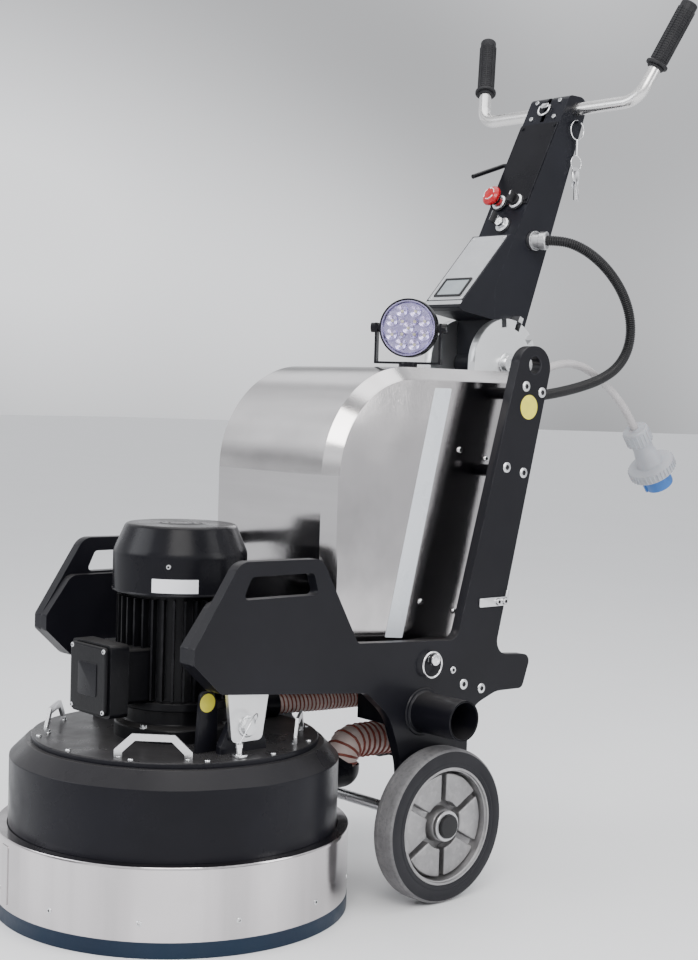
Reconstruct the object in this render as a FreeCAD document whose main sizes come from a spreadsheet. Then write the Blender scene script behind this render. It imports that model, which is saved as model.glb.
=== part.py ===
import FreeCAD, Part
import math
import os

import Sketcher
from FreeCAD import Placement, Rotation, Vector

# Walk-behind planetary concrete floor grinder, millimetres.
# The machine frame: X to the machine's left side, -Y to the grinding head at the front,
# +Y to the operator, Z up from the floor. Heights are above the floor. Every "_y" is
# measured from the wheel axle, and at() moves it to the file's origin, which is under
# the middle of the machine's overall box.

DRIVING = {
    # placing of the origin under the middle of the overall box
    "origin_x": 19.75,
    "origin_y": -20.5,
    # grinding head
    "head_y": -364.0,
    "drum_radius": 275.0,
    "drum_wall": 5.0,
    "drum_base_z": 62.0,
    "drum_edge_z": 252.5,
    "deck_z": 278.0,
    "deck_chamfer": 25.5,
    "deck_plate_radius": 240.0,
    "deck_plate_thick": 9.0,
    "band_radius": 295.0,
    "band_low_z": 25.0,
    "band_high_z": 140.0,
    "skirt_thick": 8.0,
    "head_pivot_z": 329.0,
    # planetary drive
    "carrier_radius": 246.0,
    "disc_orbit": 143.0,
    "disc_radius": 112.0,
    "fixed_pulley_radius": 45.0,
    "disc_pulley_radius": 30.0,
    "belt_thick": 5.0,
    # motor
    "frame_radius": 98.0,
    "cowl_radius": 112.0,
    "cowl_low_z": 528.0,
    "cowl_high_z": 639.0,
    # frame plates
    "plate_out_x": 235.0,
    "plate_thick": 20.0,
    "inner_plate_thick": 18.0,
    # wheels
    "wheel_radius": 132.6,
    "rim_radius": 101.0,
    "tyre_width": 48.0,
    "wheel_out_x": 290.0,
    "axle_radius": 10.0,
    # cabinet and hood
    "hood_half": 165.0,
    "hood_fold": 22.0,
    "hood_front_y": -181.0,
    "hood_low_z": 430.0,
    "hood_top_z": 913.0,
    "hood_arc_radius": 188.0,
    "hood_rear_low_y": 150.0,
    "hood_rear_high_y": 300.0,
    "sheet_thick": 2.0,
    # dust extraction
    "port_radius": 34.5,
    "port_wall": 3.0,
    "port_seat_radius": 37.0,
    "port_end_x": 335.0,
    "port_y": -16.0,
    "port_z": 323.0,
    "hose_a_dia": 63.0,
    "hose_b_dia": 38.0,
    # tilting column
    "pivot_y": 339.0,
    "pivot_z": 930.0,
    "quadrant_radius": 86.0,
    "quadrant_thick": 18.0,
    "column_half": 50.0,
    "column_wall": 3.0,
    "notch_radius": 76.0,
    "lock_angle": 22.0,
    "notch_step": 29.0,
    # handlebar
    "bar_y": 534.0,
    "bar_z": 1441.0,
    "bar_dia": 25.0,
    "bar_corner_x": 204.0,
    "bar_lean": 20.5,
    "grip_dia": 33.0,
    # conduit, mains cord and plug
    "conduit_dia": 20.0,
    "mains_dia": 16.0,
    # work lamp
    "lamp_x": 40.0,
    "lamp_y": 106.0,
    "lamp_z": 987.0,
    "lamp_radius": 54.0,
    "lamp_yaw": 33.0,
}

GAP = 0.4  # clearance between neighbouring solids that move or slide past each other

doc = FreeCAD.newDocument("concrete_grinder")
sheet = doc.addObject("Spreadsheet::Sheet", "dims")
for row, (alias, value) in enumerate(DRIVING.items(), start=1):
    sheet.set(f"A{row}", alias)
    sheet.set(f"B{row}", str(value))
    sheet.setAlias(f"B{row}", alias)
doc.recompute()

parts = []  # every sub-part, in the order in which it is made


def dim(alias):
    """The value of one spreadsheet cell."""
    return float(getattr(sheet, alias))


def at(x=0.0, y=0.0, z=0.0, rotation=None):
    """A placement in the machine frame, moved to the file's origin."""
    base = Vector(x - dim("origin_x"), y - dim("origin_y"), z)
    return Placement(base, rotation or Rotation())


def turn(axis, angle):
    return Rotation(Vector(*axis), angle)


def bind(item, **formulas):
    """Ties properties of an object to spreadsheet formulas."""
    for prop, formula in formulas.items():
        item.setExpression(prop, formula)
    return item


def name_part(item, label):
    """Makes an object a sub-part: its Label names its STEP file."""
    item.Label = label
    parts.append(item)
    return item


# ---------------------------------------------------------------- sketch and body helpers


def corner_arcs(corners):
    """Geometry of a closed outline from (u, v, corner radius) rows."""
    points = [Vector(c[0], c[1], 0) for c in corners]
    cuts = []
    for i, corner in enumerate(corners):
        here = points[i]
        before = (points[i - 1] - here).normalize()
        after = (points[(i + 1) % len(points)] - here).normalize()
        radius = corner[2] if len(corner) > 2 else 0.0
        half = before.getAngle(after) / 2
        if radius <= 0 or abs(half - math.pi / 2) < 1e-6:
            cuts.append((here, here, None))
            continue
        reach = radius / math.tan(half)
        start = here + before * reach
        end = here + after * reach
        centre = here + (before + after).normalize() * (radius / math.sin(half))
        middle = centre + (here - centre).normalize() * radius
        cuts.append((start, end, Part.Arc(start, middle, end)))
    edges = []
    for i, (start, end, arc) in enumerate(cuts):
        if arc:
            edges.append(arc)
        following = cuts[(i + 1) % len(cuts)][0]
        if (following - end).Length > 1e-6:
            edges.append(Part.LineSegment(end, following))
    return edges


def origin_plane(body, role):
    return next(f for f in body.Origin.OriginFeatures if f.Role == role)


def sketch_on(body, role, loops, name="profile"):
    """A sketch on an origin plane. A loop is a list of corners or ("circle", u, v, radius)."""
    sketch = body.newObject("Sketcher::SketchObject", name)
    sketch.AttachmentSupport = [(origin_plane(body, role), "")]
    sketch.MapMode = "FlatFace"
    for loop in loops:
        if loop[0] == "circle":
            centre = Vector(loop[1], loop[2], 0)
            circle = Part.Circle(centre, Vector(0, 0, 1), 1.0)
            index = sketch.addGeometry(circle, False)
            radius = loop[3]
            value = dim(radius) if isinstance(radius, str) else radius
            number = sketch.addConstraint(Sketcher.Constraint("Radius", index, value))
            if isinstance(radius, str):
                sketch.setExpression(f"Constraints[{number}]", f"dims.{radius}")
            continue
        for edge in corner_arcs(loop):
            shape = edge
            if isinstance(edge, Part.Arc):
                shape = edge.toShape().Curve
                first, last = edge.FirstParameter, edge.LastParameter
                shape = Part.ArcOfCircle(shape, first, last)
            sketch.addGeometry(shape, False)
    return sketch


def padded(label, role, loops, thick, place, midplane=False):
    """A body with one pad of a sketch. thick is a spreadsheet formula or a number."""
    body = doc.addObject("PartDesign::Body", label)
    sketch = sketch_on(body, role, loops)
    pad = body.newObject("PartDesign::Pad", "pad")
    pad.Profile = sketch
    pad.Midplane = midplane
    if isinstance(thick, str):
        pad.setExpression("Length", thick)
    else:
        pad.Length = thick
    body.Placement = place
    return body


def turned(label, loops, place):
    """A body turned about its own Z axis from (radius, height) loops."""
    body = doc.addObject("PartDesign::Body", label)
    sketch = sketch_on(body, "XZ_Plane", loops)
    revolution = body.newObject("PartDesign::Revolution", "turning")
    revolution.Profile = sketch
    revolution.ReferenceAxis = (sketch, ["V_Axis"])
    revolution.Angle = 360.0
    body.Placement = place
    return body


def box(place, length, width, height, name="box"):
    item = doc.addObject("Part::Box", name)
    item.Length, item.Width, item.Height = length, width, height
    item.Placement = place
    return item


def bar(place, radius, height, name="bar"):
    item = doc.addObject("Part::Cylinder", name)
    for prop, value in (("Radius", radius), ("Height", height)):
        if isinstance(value, str):
            item.setExpression(prop, value)
        else:
            setattr(item, prop, value)
    item.Placement = place
    return item


def fused(pieces, name="joined"):
    item = doc.addObject("Part::MultiFuse", name)
    item.Shapes = pieces
    return item


def cut(base, tool, name="cut"):
    item = doc.addObject("Part::Cut", name)
    item.Base = base
    item.Tool = tool
    return item


def grouped(pieces, label):
    """Several like solids as one sub-part."""
    item = doc.addObject("Part::Compound", label)
    item.Links = pieces
    return name_part(item, label)


def shaped(shape, label, place=None):
    """A sub-part whose shape comes from Part functions."""
    item = doc.addObject("Part::Feature", label)
    item.Shape = shape
    item.Placement = place or at()
    return name_part(item, label)


ALONG_X = turn((0, 1, 0), 90)  # turns +Z onto +X


# ---------------------------------------------------------------- frame plates

HANDLE_LOW_Z = 538.0
POST_SCREWS = ((215.5, 886.0), (258.0, 876.0), (172.0, 741.0), (216.0, 731.0))
LOBE_SCREWS = ((54.0, 388.5), (81.0, 361.0), (126.0, 349.5))
RING_PIN = (1.0, 412.0)
POST_HOLE = (237.0, 925.0)
PIN_RADIUS = 7.0


def plate_outline(post_top_z):
    """Outline (y, z, corner radius) of a side plate whose rear post ends at post_top_z."""

    def front_edge(z):
        return 78.5 + 0.268 * (z - 491.0)

    def rear_edge(z):
        return 168.0 + 0.239 * (z - 452.0)

    return [
        (-501, 443, 6),
        (-448, 394, 22),
        (-145, 367, 34),
        (-92, 322, 90),
        (-62, 240, 120),
        (-46, 86.6, 45.5),
        (46, 86.6, 45.5),
        (70, 262, 40),
        (112, 322, 60),
        (165, 341, 60),
        (233, 340, 12),
        (254, 400, 14),
        (rear_edge(408), 408, 26),
        (rear_edge(post_top_z), post_top_z, 40),
        (front_edge(post_top_z), post_top_z, 40),
        (front_edge(440) - 2, 440, 24),
        (-169, 452, 10),
        (-251, 596, 24),
        (-417, 598, 30),
        (-501, 468, 6),
    ]


HANDLE_SLOT = [(-411, HANDLE_LOW_Z, 7), (-257, HANDLE_LOW_Z, 7), (-268, 574, 9), (-394, 574, 9)]


def side_plate(label, side, post_top_z, screws):
    """One 20 mm frame plate. side is +1 for the machine's left."""
    holes = [("circle", y, z, 6.0) for y, z in screws]
    loops = [plate_outline(post_top_z), HANDLE_SLOT, ("circle", 0.0, dim("wheel_radius"), "axle_radius")]
    loops.append(("circle", RING_PIN[0], RING_PIN[1], PIN_RADIUS + GAP))
    if side > 0:
        loops.append(("circle", POST_HOLE[0], POST_HOLE[1], 15.0))
        loops.append(("circle", dim("port_y"), dim("port_z"), "port_seat_radius"))
    inner_x = dim("plate_out_x") - dim("plate_thick")
    start_x = inner_x if side > 0 else -dim("plate_out_x")
    body = padded(label, "YZ_Plane", loops + holes, "dims.plate_thick", at(start_x))
    return name_part(body, label)


FAR_POST_SCREWS = ((172.0, 741.0), (216.0, 731.0))
side_plate("side_plate_left", 1, 959.0, POST_SCREWS + LOBE_SCREWS)
side_plate("side_plate_right", -1, 896.0, FAR_POST_SCREWS + LOBE_SCREWS)

INNER_OUTLINE = [
    (-501, 443, 6),
    (-448, 394, 22),
    (-145, 367, 20),
    (40, 367, 8),
    (40, 438, 8),
    (-168, 448, 10),
    (-219, 535, 20),
    (-452, 535, 24),
    (-501, 468, 6),
]
inner_plates = []
for side in (1, -1):
    inner_x = dim("plate_out_x") - dim("plate_thick")
    start_x = inner_x - dim("inner_plate_thick") if side > 0 else -inner_x
    inner_loops = [INNER_OUTLINE, ("circle", RING_PIN[0], RING_PIN[1], PIN_RADIUS + GAP)]
    inner_plates.append(
        padded("inner_plate", "YZ_Plane", inner_loops, "dims.inner_plate_thick", at(start_x))
    )
grouped(inner_plates, "inner_plates")


# ---------------------------------------------------------------- cross members

INNER_HALF = dim("plate_out_x") - dim("plate_thick")
BEAM_HALF = INNER_HALF - dim("inner_plate_thick")

cross = [
    box(at(-BEAM_HALF, -174, 424), 2 * BEAM_HALF, 300, 6, "tray"),
    box(at(-BEAM_HALF, -172, 384), 2 * BEAM_HALF, 40, 40, "front_tube"),
    box(at(-INNER_HALF, 70, 384), 2 * INNER_HALF, 40, 40, "rear_tube"),
    bar(at(-INNER_HALF, 126, 349.5, ALONG_X), 12, INNER_HALF + 108, "lobe_rod"),
]
POST_SPACERS = ((248.0, 872.0), (216.0, 731.0))
for side in (1, -1):
    for y, z in POST_SPACERS:
        start = dim("hood_half") if side > 0 else -INNER_HALF
        cross.append(bar(at(start, y, z, ALONG_X), 11, INNER_HALF - dim("hood_half"), "spacer"))
HINGE_BEAM = box(at(-162.9, 210, 812), 325.8, 43, 50, "hinge_beam")
grouped(cross + [HINGE_BEAM], "cross_members")


# ---------------------------------------------------------------- hood and cabinet


def hood_profile(inset):
    """Side view (y, z) of the hood as a face at x = 0, drawn in by inset."""
    front = dim("hood_front_y") + inset
    top = dim("hood_top_z") - inset
    radius = dim("hood_arc_radius") - inset
    low = dim("hood_low_z") - (1.0 if inset > 0 else 0.0)
    rear_low = dim("hood_rear_low_y")
    rear_high = dim("hood_rear_high_y")
    tail = 1.0 if inset > 0 else 0.0
    arc_y, arc_z = front + radius, top - radius
    a = Vector(0, front, low)
    b = Vector(0, front, arc_z)
    slant = radius * math.sqrt(0.5)
    mid = Vector(0, arc_y - slant, arc_z + slant)
    c = Vector(0, arc_y, top)
    d = Vector(0, rear_high + tail, top)
    e = Vector(0, rear_high + tail, 880)
    f = Vector(0, rear_low + tail, low)
    edges = [Part.LineSegment(a, b).toShape(), Part.Arc(b, mid, c).toShape()]
    for start, end in ((c, d), (d, e), (e, f), (f, a)):
        edges.append(Part.LineSegment(start, end).toShape())
    return Part.Face(Part.Wire(edges)), (a, b, c, d)


def hood_solid(inset):
    """The folded box that the hood wraps: flat sides, with a fold strip along front and top."""
    half = dim("hood_half") - inset
    face, marks = hood_profile(inset)
    face.translate(Vector(-half, 0, 0))
    solid = face.extrude(Vector(2 * half, 0, 0))
    front, top = marks[0].y, marks[3].z
    folds = []
    for edge in solid.Edges:
        spot = edge.valueAt((edge.FirstParameter + edge.LastParameter) / 2)
        on_side = abs(abs(spot.x) - half) < 1e-3 and edge.BoundBox.XLength < 1e-3
        straight_front = abs(spot.y - front) < 1e-3
        straight_top = abs(spot.z - top) < 1e-3
        round_part = edge.Curve.TypeId == "Part::GeomCircle"
        if on_side and (straight_front or straight_top or round_part):
            folds.append(edge)
    return solid.makeChamfer(dim("hood_fold") - 0.59 * inset, folds)


def block(x0, x1, y0, y1, z0, z1):
    """A box from corner to corner, as a plain shape."""
    return Part.makeBox(x1 - x0, y1 - y0, z1 - z0, Vector(x0, y0, z0))


hood_shell = hood_solid(0.0).cut(hood_solid(dim("sheet_thick")))
side_cut = dim("hood_half") - dim("sheet_thick")
side_zone = block(side_cut, 400, -400, 500, 400, 1000).fuse(block(-400, -side_cut, -400, 500, 400, 1000))
COLUMN_WELL_HALF = dim("column_half") + dim("quadrant_thick") + 5.0
COLUMN_WELL_Y = dim("pivot_y") - dim("quadrant_radius") - 6.0
column_well = block(-COLUMN_WELL_HALF, COLUMN_WELL_HALF, COLUMN_WELL_Y, 400, 806, 1000)
hood_sides = hood_shell.common(side_zone)
shaped(hood_shell.cut(side_zone).cut(column_well), "hood_skin")


def rear_panel():
    """The sloping back of the cabinet with a well for the column and two rows of louvre slots."""
    thick = dim("sheet_thick")
    half = dim("hood_half") - thick - GAP
    low = Vector(-half, dim("hood_rear_low_y") - 4.0, dim("hood_low_z"))
    high = Vector(-half, dim("hood_rear_high_y") - 4.0, 880)
    back = Vector(0, -thick, 0)
    face = Part.Face(Part.makePolygon([low, high, high + back, low + back, low]))
    panel = face.extrude(Vector(2 * half, 0, 0)).cut(column_well)
    slope = (high.y - low.y) / (high.z - low.z)
    for row in range(6):
        z = 500 + 22 * row
        y = low.y + slope * (z - low.z)
        panel = panel.cut(block(-110, -20, y - 12, y + 12, z, z + 6))
        panel = panel.cut(block(20, 110, y - 12, y + 12, z, z + 6))
    return panel


shaped(Part.makeCompound([hood_sides, rear_panel()]), "cabinet_panels")

inverter = box(at(-120, -120, 440), 210, 150, 300, "drive_box")
fins = [box(at(-110 + 22 * i, -160, 450), 4, 40, 280, "cooling_fin") for i in range(9)]
contactors = [box(at(-110 + 62 * i, 60, 560), 48, 80, 90, "contactor") for i in range(3)]
rail = box(at(-120, 140, 545), 220, 6, 120, "mounting_plate")
grouped([fused([inverter] + fins, "drive"), *contactors, rail], "inverter")


# ---------------------------------------------------------------- quadrant plates and fasteners


def quadrant():
    """A hinge cheek: a round head with three lock notches and a foot that enters the hood."""
    radius = dim("quadrant_radius")
    y, z = dim("pivot_y"), dim("pivot_z")
    thick = dim("quadrant_thick")
    head = Part.makeCylinder(radius, thick, Vector(0, y, z), Vector(1, 0, 0))
    outline = [
        Vector(0, y - radius, z),
        Vector(0, y + radius, z),
        Vector(0, y + radius - 12, z - 44),
        Vector(0, y - 66, 812),
        Vector(0, y - radius, 812),
    ]
    foot = Part.Face(Part.makePolygon(outline + outline[:1])).extrude(Vector(thick, 0, 0))
    plate = head.fuse(foot).removeSplitter()
    for step in (-1, 0, 1):
        angle = dim("lock_angle") + step * dim("notch_step")
        notch = Part.makeBox(thick + 2, 13, 30, Vector(-1, -6.5, dim("notch_radius") - 6.5))
        notch.rotate(Vector(0, 0, 0), Vector(1, 0, 0), -angle)
        notch.translate(Vector(0, y, z))
        plate = plate.cut(notch)
    bore = Part.makeCylinder(12.0, thick, Vector(0, y, z), Vector(1, 0, 0))
    return plate.cut(bore)


cheeks = []
for side in (1, -1):
    cheek = quadrant()
    gap_x = dim("column_half") + GAP
    cheek.translate(Vector(gap_x if side > 0 else -gap_x - dim("quadrant_thick"), 0, 0))
    cheeks.append(cheek)
shaped(Part.makeCompound(cheeks), "quadrant_plates")


def screw(place, radius, head, length):
    """A socket screw turned about Z with its head above z = 0."""
    loops = [[(0, -length, 0), (radius, -length, 0), (radius, 0, 0), (head, 0, 0), (head, 2.2, 1), (0, 2.2, 0)]]
    return turned("screw", loops, place)


def side_rotation(side):
    return turn((0, 1, 0), 90 * side)


fasteners = []
for side in (1, -1):
    face_x = side * dim("plate_out_x")
    near = POST_SCREWS if side > 0 else FAR_POST_SCREWS
    for y, z in near:
        fasteners.append(screw(at(face_x, y, z, side_rotation(side)), 6.0, 9.5, 19.5))
    for (y, z), head in zip(LOBE_SCREWS, (6.5, 9.5, 9.0)):
        reach = 19.5
        fasteners.append(screw(at(face_x, y, z, side_rotation(side)), 6.0, head, reach))
PIVOT_HALF = dim("column_half") + dim("quadrant_thick") + 12.0
pivot_loops = [
    [
        (0, -PIVOT_HALF, 0),
        (17, -PIVOT_HALF, 1.5),
        (17, -PIVOT_HALF + 11, 0),
        (12, -PIVOT_HALF + 11, 0),
        (12, PIVOT_HALF - 11, 0),
        (17, PIVOT_HALF - 11, 0),
        (17, PIVOT_HALF, 1.5),
        (0, PIVOT_HALF, 0),
    ]
]
fasteners.append(turned("column_pivot", pivot_loops, at(0, dim("pivot_y"), dim("pivot_z"), ALONG_X)))
HANGER_X = 186.0
HANGER_THICK = 8.0
for side in (1, -1):
    head_x = side * (HANGER_X + HANGER_THICK)
    place = at(head_x, dim("head_y"), dim("head_pivot_z"), side_rotation(side))
    fasteners.append(screw(place, 9.0, 15.0, 38.0))
grouped(fasteners, "frame_fasteners")


# ---------------------------------------------------------------- axle and wheels

WHEEL_Z = dim("wheel_radius")
AXLE_HALF = dim("wheel_out_x") + 4.0
axle_loops = [
    [
        (0, -AXLE_HALF, 0),
        (17, -AXLE_HALF, 1),
        (17, -AXLE_HALF + 5, 0),
        (10, -AXLE_HALF + 5, 0),
        (10, AXLE_HALF - 5, 0),
        (17, AXLE_HALF - 5, 0),
        (17, AXLE_HALF, 1),
        (0, AXLE_HALF, 0),
    ]
]
name_part(turned("axle", axle_loops, at(0, 0, WHEEL_Z, ALONG_X)), "axle")


def wheel(word, side):
    """A moulded tyre on a ribbed cast rim. The outer face is at wheel_out_x."""
    width = dim("tyre_width")
    outer = dim("wheel_radius")
    seat = dim("rim_radius")
    place = at(side * dim("wheel_out_x"), 0, WHEEL_Z, side_rotation(side))
    tyre_loops = [[(seat, -width, 0), (outer, -width, 5), (outer, 0, 5), (seat, 0, 0)]]
    name_part(turned(f"tyre_{word}", tyre_loops, place), f"tyre_{word}")
    ring = seat - GAP / 2
    hub = 26.0
    bore = dim("axle_radius") + 0.05
    rim_loops = [
        [
            (bore, -width + 2, 0),
            (hub, -width + 2, 0),
            (hub, -30, 6),
            (ring - 9, -30, 6),
            (ring - 9, -width + 1, 0),
            (ring, -width + 1, 0),
            (ring, -1, 0),
            (ring - 6, -1, 0),
            (ring - 10, -20, 6),
            (hub + 6, -20, 6),
            (hub + 2, -4, 0),
            (bore, -4, 0),
        ]
    ]
    rim = turned("rim_turning", rim_loops, place)
    ribs = []
    for k in range(5):
        rib_place = Placement(Vector(0, 0, 0), turn((0, 0, 1), 72 * k))
        rib = box(place.multiply(rib_place).multiply(Placement(Vector(24, -13, -21), Rotation())), 70, 26, 15, "rib")
        ribs.append(rib)
    name_part(fused([rim] + ribs, f"rim_{word}"), f"rim_{word}")


wheel("left", 1)
wheel("right", -1)


# ---------------------------------------------------------------- dust extraction


def tube_path(points, label):
    """A wire of straight runs joined by tangent arcs. A point's fourth value is its bend
    radius. Without one the radius is 0.45 of the shorter run beside the point over the
    tangent of half the turn. Prints the radii."""
    spots = [Vector(*p[:3]) for p in points]
    edges, radii = [], []
    last = spots[0]
    for i in range(1, len(spots) - 1):
        before, here, after = spots[i - 1 : i + 2]
        come = (here - before).normalize()
        go = (after - here).normalize()
        half = come.getAngle(go) / 2
        reach = 0.45 * min((here - before).Length, (after - here).Length)
        if len(points[i]) > 3:
            reach = points[i][3] * math.tan(half)
        radii.append(reach / math.tan(half))
        start, end = here - come * reach, here + go * reach
        centre = start + (go - come * come.dot(go)).normalize() * radii[-1]
        middle = centre + (here - centre).normalize() * radii[-1]
        edges.append(Part.LineSegment(last, start).toShape())
        edges.append(Part.Arc(start, middle, end).toShape())
        last = end
    edges.append(Part.LineSegment(last, spots[-1]).toShape())
    print(label, "radii", [round(r) for r in radii], "length", round(sum(e.Length for e in edges)))
    return Part.Wire(edges)


def swept_tube(points, diameter, label):
    """A round tube along tube_path. Its volume is compared with section times length."""
    path = tube_path(points, label)
    start = Vector(*points[0][:3])
    direction = Vector(*points[1][:3]) - start
    ring = Part.Wire(Part.makeCircle(diameter / 2, start, direction))
    solid = path.makePipeShell([ring], True, True)
    expected = math.pi * diameter**2 / 4 * path.Length
    if abs(solid.Volume / expected - 1) > 0.01:
        raise RuntimeError(f"{label}: volume {solid.Volume:.0f}, expected {expected:.0f}")
    return solid


def run_way(start, end):
    """The unit direction from one route point to another."""
    return (Vector(*end[:3]) - Vector(*start[:3])).normalize()


HOSE_A = [
    (70.0, -56.0, 200.0),
    (70.0, -56.0, 244.0, 36.0),
    (70.0, 82.0, 242.0),
]
HOSE_B = [
    (-17.0, -154.0, 309.0),
    (2.0, -80.0, 309.0, 200.0),
    (7.0, 88.0, 306.0, 62.0),
    (7.0, 114.0, 234.0),
]


def dust_manifold():
    """The outlet tube through the left plate, welded to a folded inlet box behind it."""
    y, z, radius = dim("port_y"), dim("port_z"), dim("port_radius")
    inner = radius - dim("port_wall")
    end = dim("port_end_x")
    riser = block(110, INNER_HALF - 0.5, y - 38, 104, z - 27, z + 38)
    main = block(34, 196, 72, 136, 204, 298)
    wing = block(-25, 34, 72, 136, 196, 238)
    face = dim("plate_out_x")
    root = Part.makeCylinder(dim("port_seat_radius"), face - 150, Vector(150, y, z), Vector(1, 0, 0))
    tube = Part.makeCylinder(radius, end - face, Vector(face, y, z), Vector(1, 0, 0))
    body = main.fuse([riser, wing, root, tube])
    body = body.cut(Part.makeCylinder(inner, end - 149, Vector(150, y, z), Vector(1, 0, 0)))
    body = body.cut(block(114, INNER_HALF - 4, y - 34, 100, z - 23, z + 34))
    body = body.cut(block(38, 192, 86, 132, 208, 294))
    body = body.cut(block(114, 192, 86, 100, 290, z))
    for route, size in ((HOSE_A, "hose_a_dia"), (HOSE_B, "hose_b_dia")):
        way = run_way(route[-2], route[-1])
        mouth = Vector(*route[-1][:3]) - way * 22
        body = body.cut(Part.makeCylinder(dim(size) / 2, 28, mouth, way))
    return body.removeSplitter()


shaped(dust_manifold(), "dust_manifold")


hoses = [
    swept_tube(HOSE_A, dim("hose_a_dia"), "hose_a"),
    swept_tube(HOSE_B, dim("hose_b_dia"), "hose_b"),
]
shaped(Part.makeCompound(hoses), "suction_hoses")


# ---------------------------------------------------------------- head hangers

HANGER_OUTLINE = [(-41, 64, 4), (44, 64, 4), (30, -24, 10), (-30, -24, 10)]
hangers = []
for side in (1, -1):
    start_x = HANGER_X if side > 0 else -HANGER_X - HANGER_THICK
    loops = [HANGER_OUTLINE, ("circle", 0.0, 0.0, 9.0)]
    place = at(start_x, dim("head_y"), dim("head_pivot_z"))
    plate = padded("hanger", "YZ_Plane", loops, HANGER_THICK, place)
    foot_start = HANGER_X if side > 0 else -BEAM_HALF
    foot = box(at(foot_start, dim("head_y") - 41, 393.2), BEAM_HALF - HANGER_X, 85, 26, "hanger_foot")
    hangers += [plate, foot]
grouped(hangers, "hanger_plates")


# ---------------------------------------------------------------- grinding head


def head_at(z=0.0, x=0.0, y=0.0, rotation=None):
    return at(x, dim("head_y") + y, z, rotation)


wall = dim("drum_wall")
radius = dim("drum_radius")
drum_loops = [
    [
        (52, dim("deck_z") - 8, 0),
        (radius - dim("deck_chamfer") - 2, dim("deck_z") - 8, 0),
        (radius - wall, dim("drum_edge_z") - 2, 0),
        (radius - wall, dim("drum_base_z"), 0),
        (radius, dim("drum_base_z"), 0),
        (radius, dim("drum_edge_z"), 2),
        (radius - dim("deck_chamfer"), dim("deck_z"), 2),
        (52, dim("deck_z"), 0),
    ]
]
drum = turned("drum_turning", drum_loops, head_at())
port_hole = bar(at(HOSE_A[0][0], -140, HOSE_A[0][2] - 1, turn((1, 0, 0), -90)), 26, 60, "port_hole")
name_part(cut(drum, port_hole, "drum_shell"), "drum_shell")

deck_low = dim("deck_z")
deck_high = deck_low + dim("deck_plate_thick")
deck_loops = [[(52, deck_low, 0), (dim("deck_plate_radius"), deck_low, 0), (dim("deck_plate_radius"), deck_high, 2), (52, deck_high, 0)]]
name_part(turned("deck_plate", deck_loops, head_at()), "deck_plate")

SHAFT_BORE = 14.05  # running fit on the 28 mm drive shafts
gearbox_loops = [
    [
        (SHAFT_BORE, 196, 0),
        (50, 196, 4),
        (50, deck_high, 0),
        (104, deck_high, 0),
        (104, deck_high + 22, 4),
        (88, deck_high + 26, 4),
        (88, 338, 2),
        (SHAFT_BORE, 338, 0),
    ]
]
name_part(turned("gearbox_housing", gearbox_loops, head_at()), "gearbox_housing")

FRAME_LOW, FRAME_HIGH = 338.0, dim("cowl_low_z")
frame_loops = [
    [
        (70, FRAME_LOW + 12, 0),
        (SHAFT_BORE, FRAME_LOW + 12, 0),
        (SHAFT_BORE, FRAME_LOW, 0),
        (100, FRAME_LOW, 2),
        (100, FRAME_LOW + 14, 2),
        (88, FRAME_LOW + 14, 0),
        (88, FRAME_HIGH + 8, 0),
        (SHAFT_BORE, FRAME_HIGH + 8, 0),
        (SHAFT_BORE, FRAME_HIGH - 6, 0),
        (70, FRAME_HIGH - 6, 0),
    ]
]
frame_turning = turned("frame_turning", frame_loops, head_at())
fin_boxes = []
FIN_COUNT = 36
for k in range(FIN_COUNT):
    spin = turn((0, 0, 1), 360.0 / FIN_COUNT * k)
    place = head_at(FRAME_LOW + 18, 0, 0, spin).multiply(Placement(Vector(86, -1.5, 0), Rotation()))
    fin_boxes.append(box(place, 18, 3, FRAME_HIGH - FRAME_LOW - 26, "fin"))
stator_loops = [[(50, 372, 0), (69.6, 372, 0), (69.6, 500, 0), (50, 500, 0)]]
stator = turned("stator", stator_loops, head_at())
neck_zone = cut(box(head_at(351, -44.5, -130), 89, 130, 90), bar(head_at(340), 88, 120), "neck_zone")
motor_frame = cut(fused([frame_turning] + fin_boxes, "fins_and_frame"), neck_zone, "motor_casting")
grouped([motor_frame, stator], "motor_frame")

cowl, cowl_low, cowl_high = dim("cowl_radius"), dim("cowl_low_z"), dim("cowl_high_z")
cowl_loops = [
    [
        (cowl, cowl_low, 0),
        (cowl, cowl_high - 46, 30),
        (cowl - 20, cowl_high, 8),
        (0, cowl_high, 0),
        (0, cowl_high - 3, 0),
        (cowl - 23, cowl_high - 3, 6),
        (cowl - 3, cowl_high - 47, 28),
        (cowl - 3, cowl_low, 0),
    ]
]
name_part(turned("motor_cowl", cowl_loops, head_at()), "motor_cowl")

TERMINAL_OUTLINE = [(-57, 334, 8), (57, 334, 8), (57, 452, 8), (-57, 452, 8)]
NECK_OUTLINE = [(-44, 352, 6), (44, 352, 6), (44, 440, 6), (-44, 440, 6)]
neck = padded("terminal_neck", "XZ_Plane", [NECK_OUTLINE], 66, head_at(0, 0, -70))
terminal_neck = cut(neck, bar(head_at(340), 88, 120), "fitted_neck")
terminal_case = padded("terminal_case", "XZ_Plane", [TERMINAL_OUTLINE], 34, at(0, -500, 0))
LID_OUTLINE = [(-48, 342, 6), (48, 342, 6), (48, 444, 6), (-48, 444, 6)]
terminal_lid = padded("terminal_lid", "XZ_Plane", [LID_OUTLINE], 7, at(0, -534, 0))
name_part(fused([terminal_neck, terminal_case, terminal_lid], "terminal_box"), "terminal_box")


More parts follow.
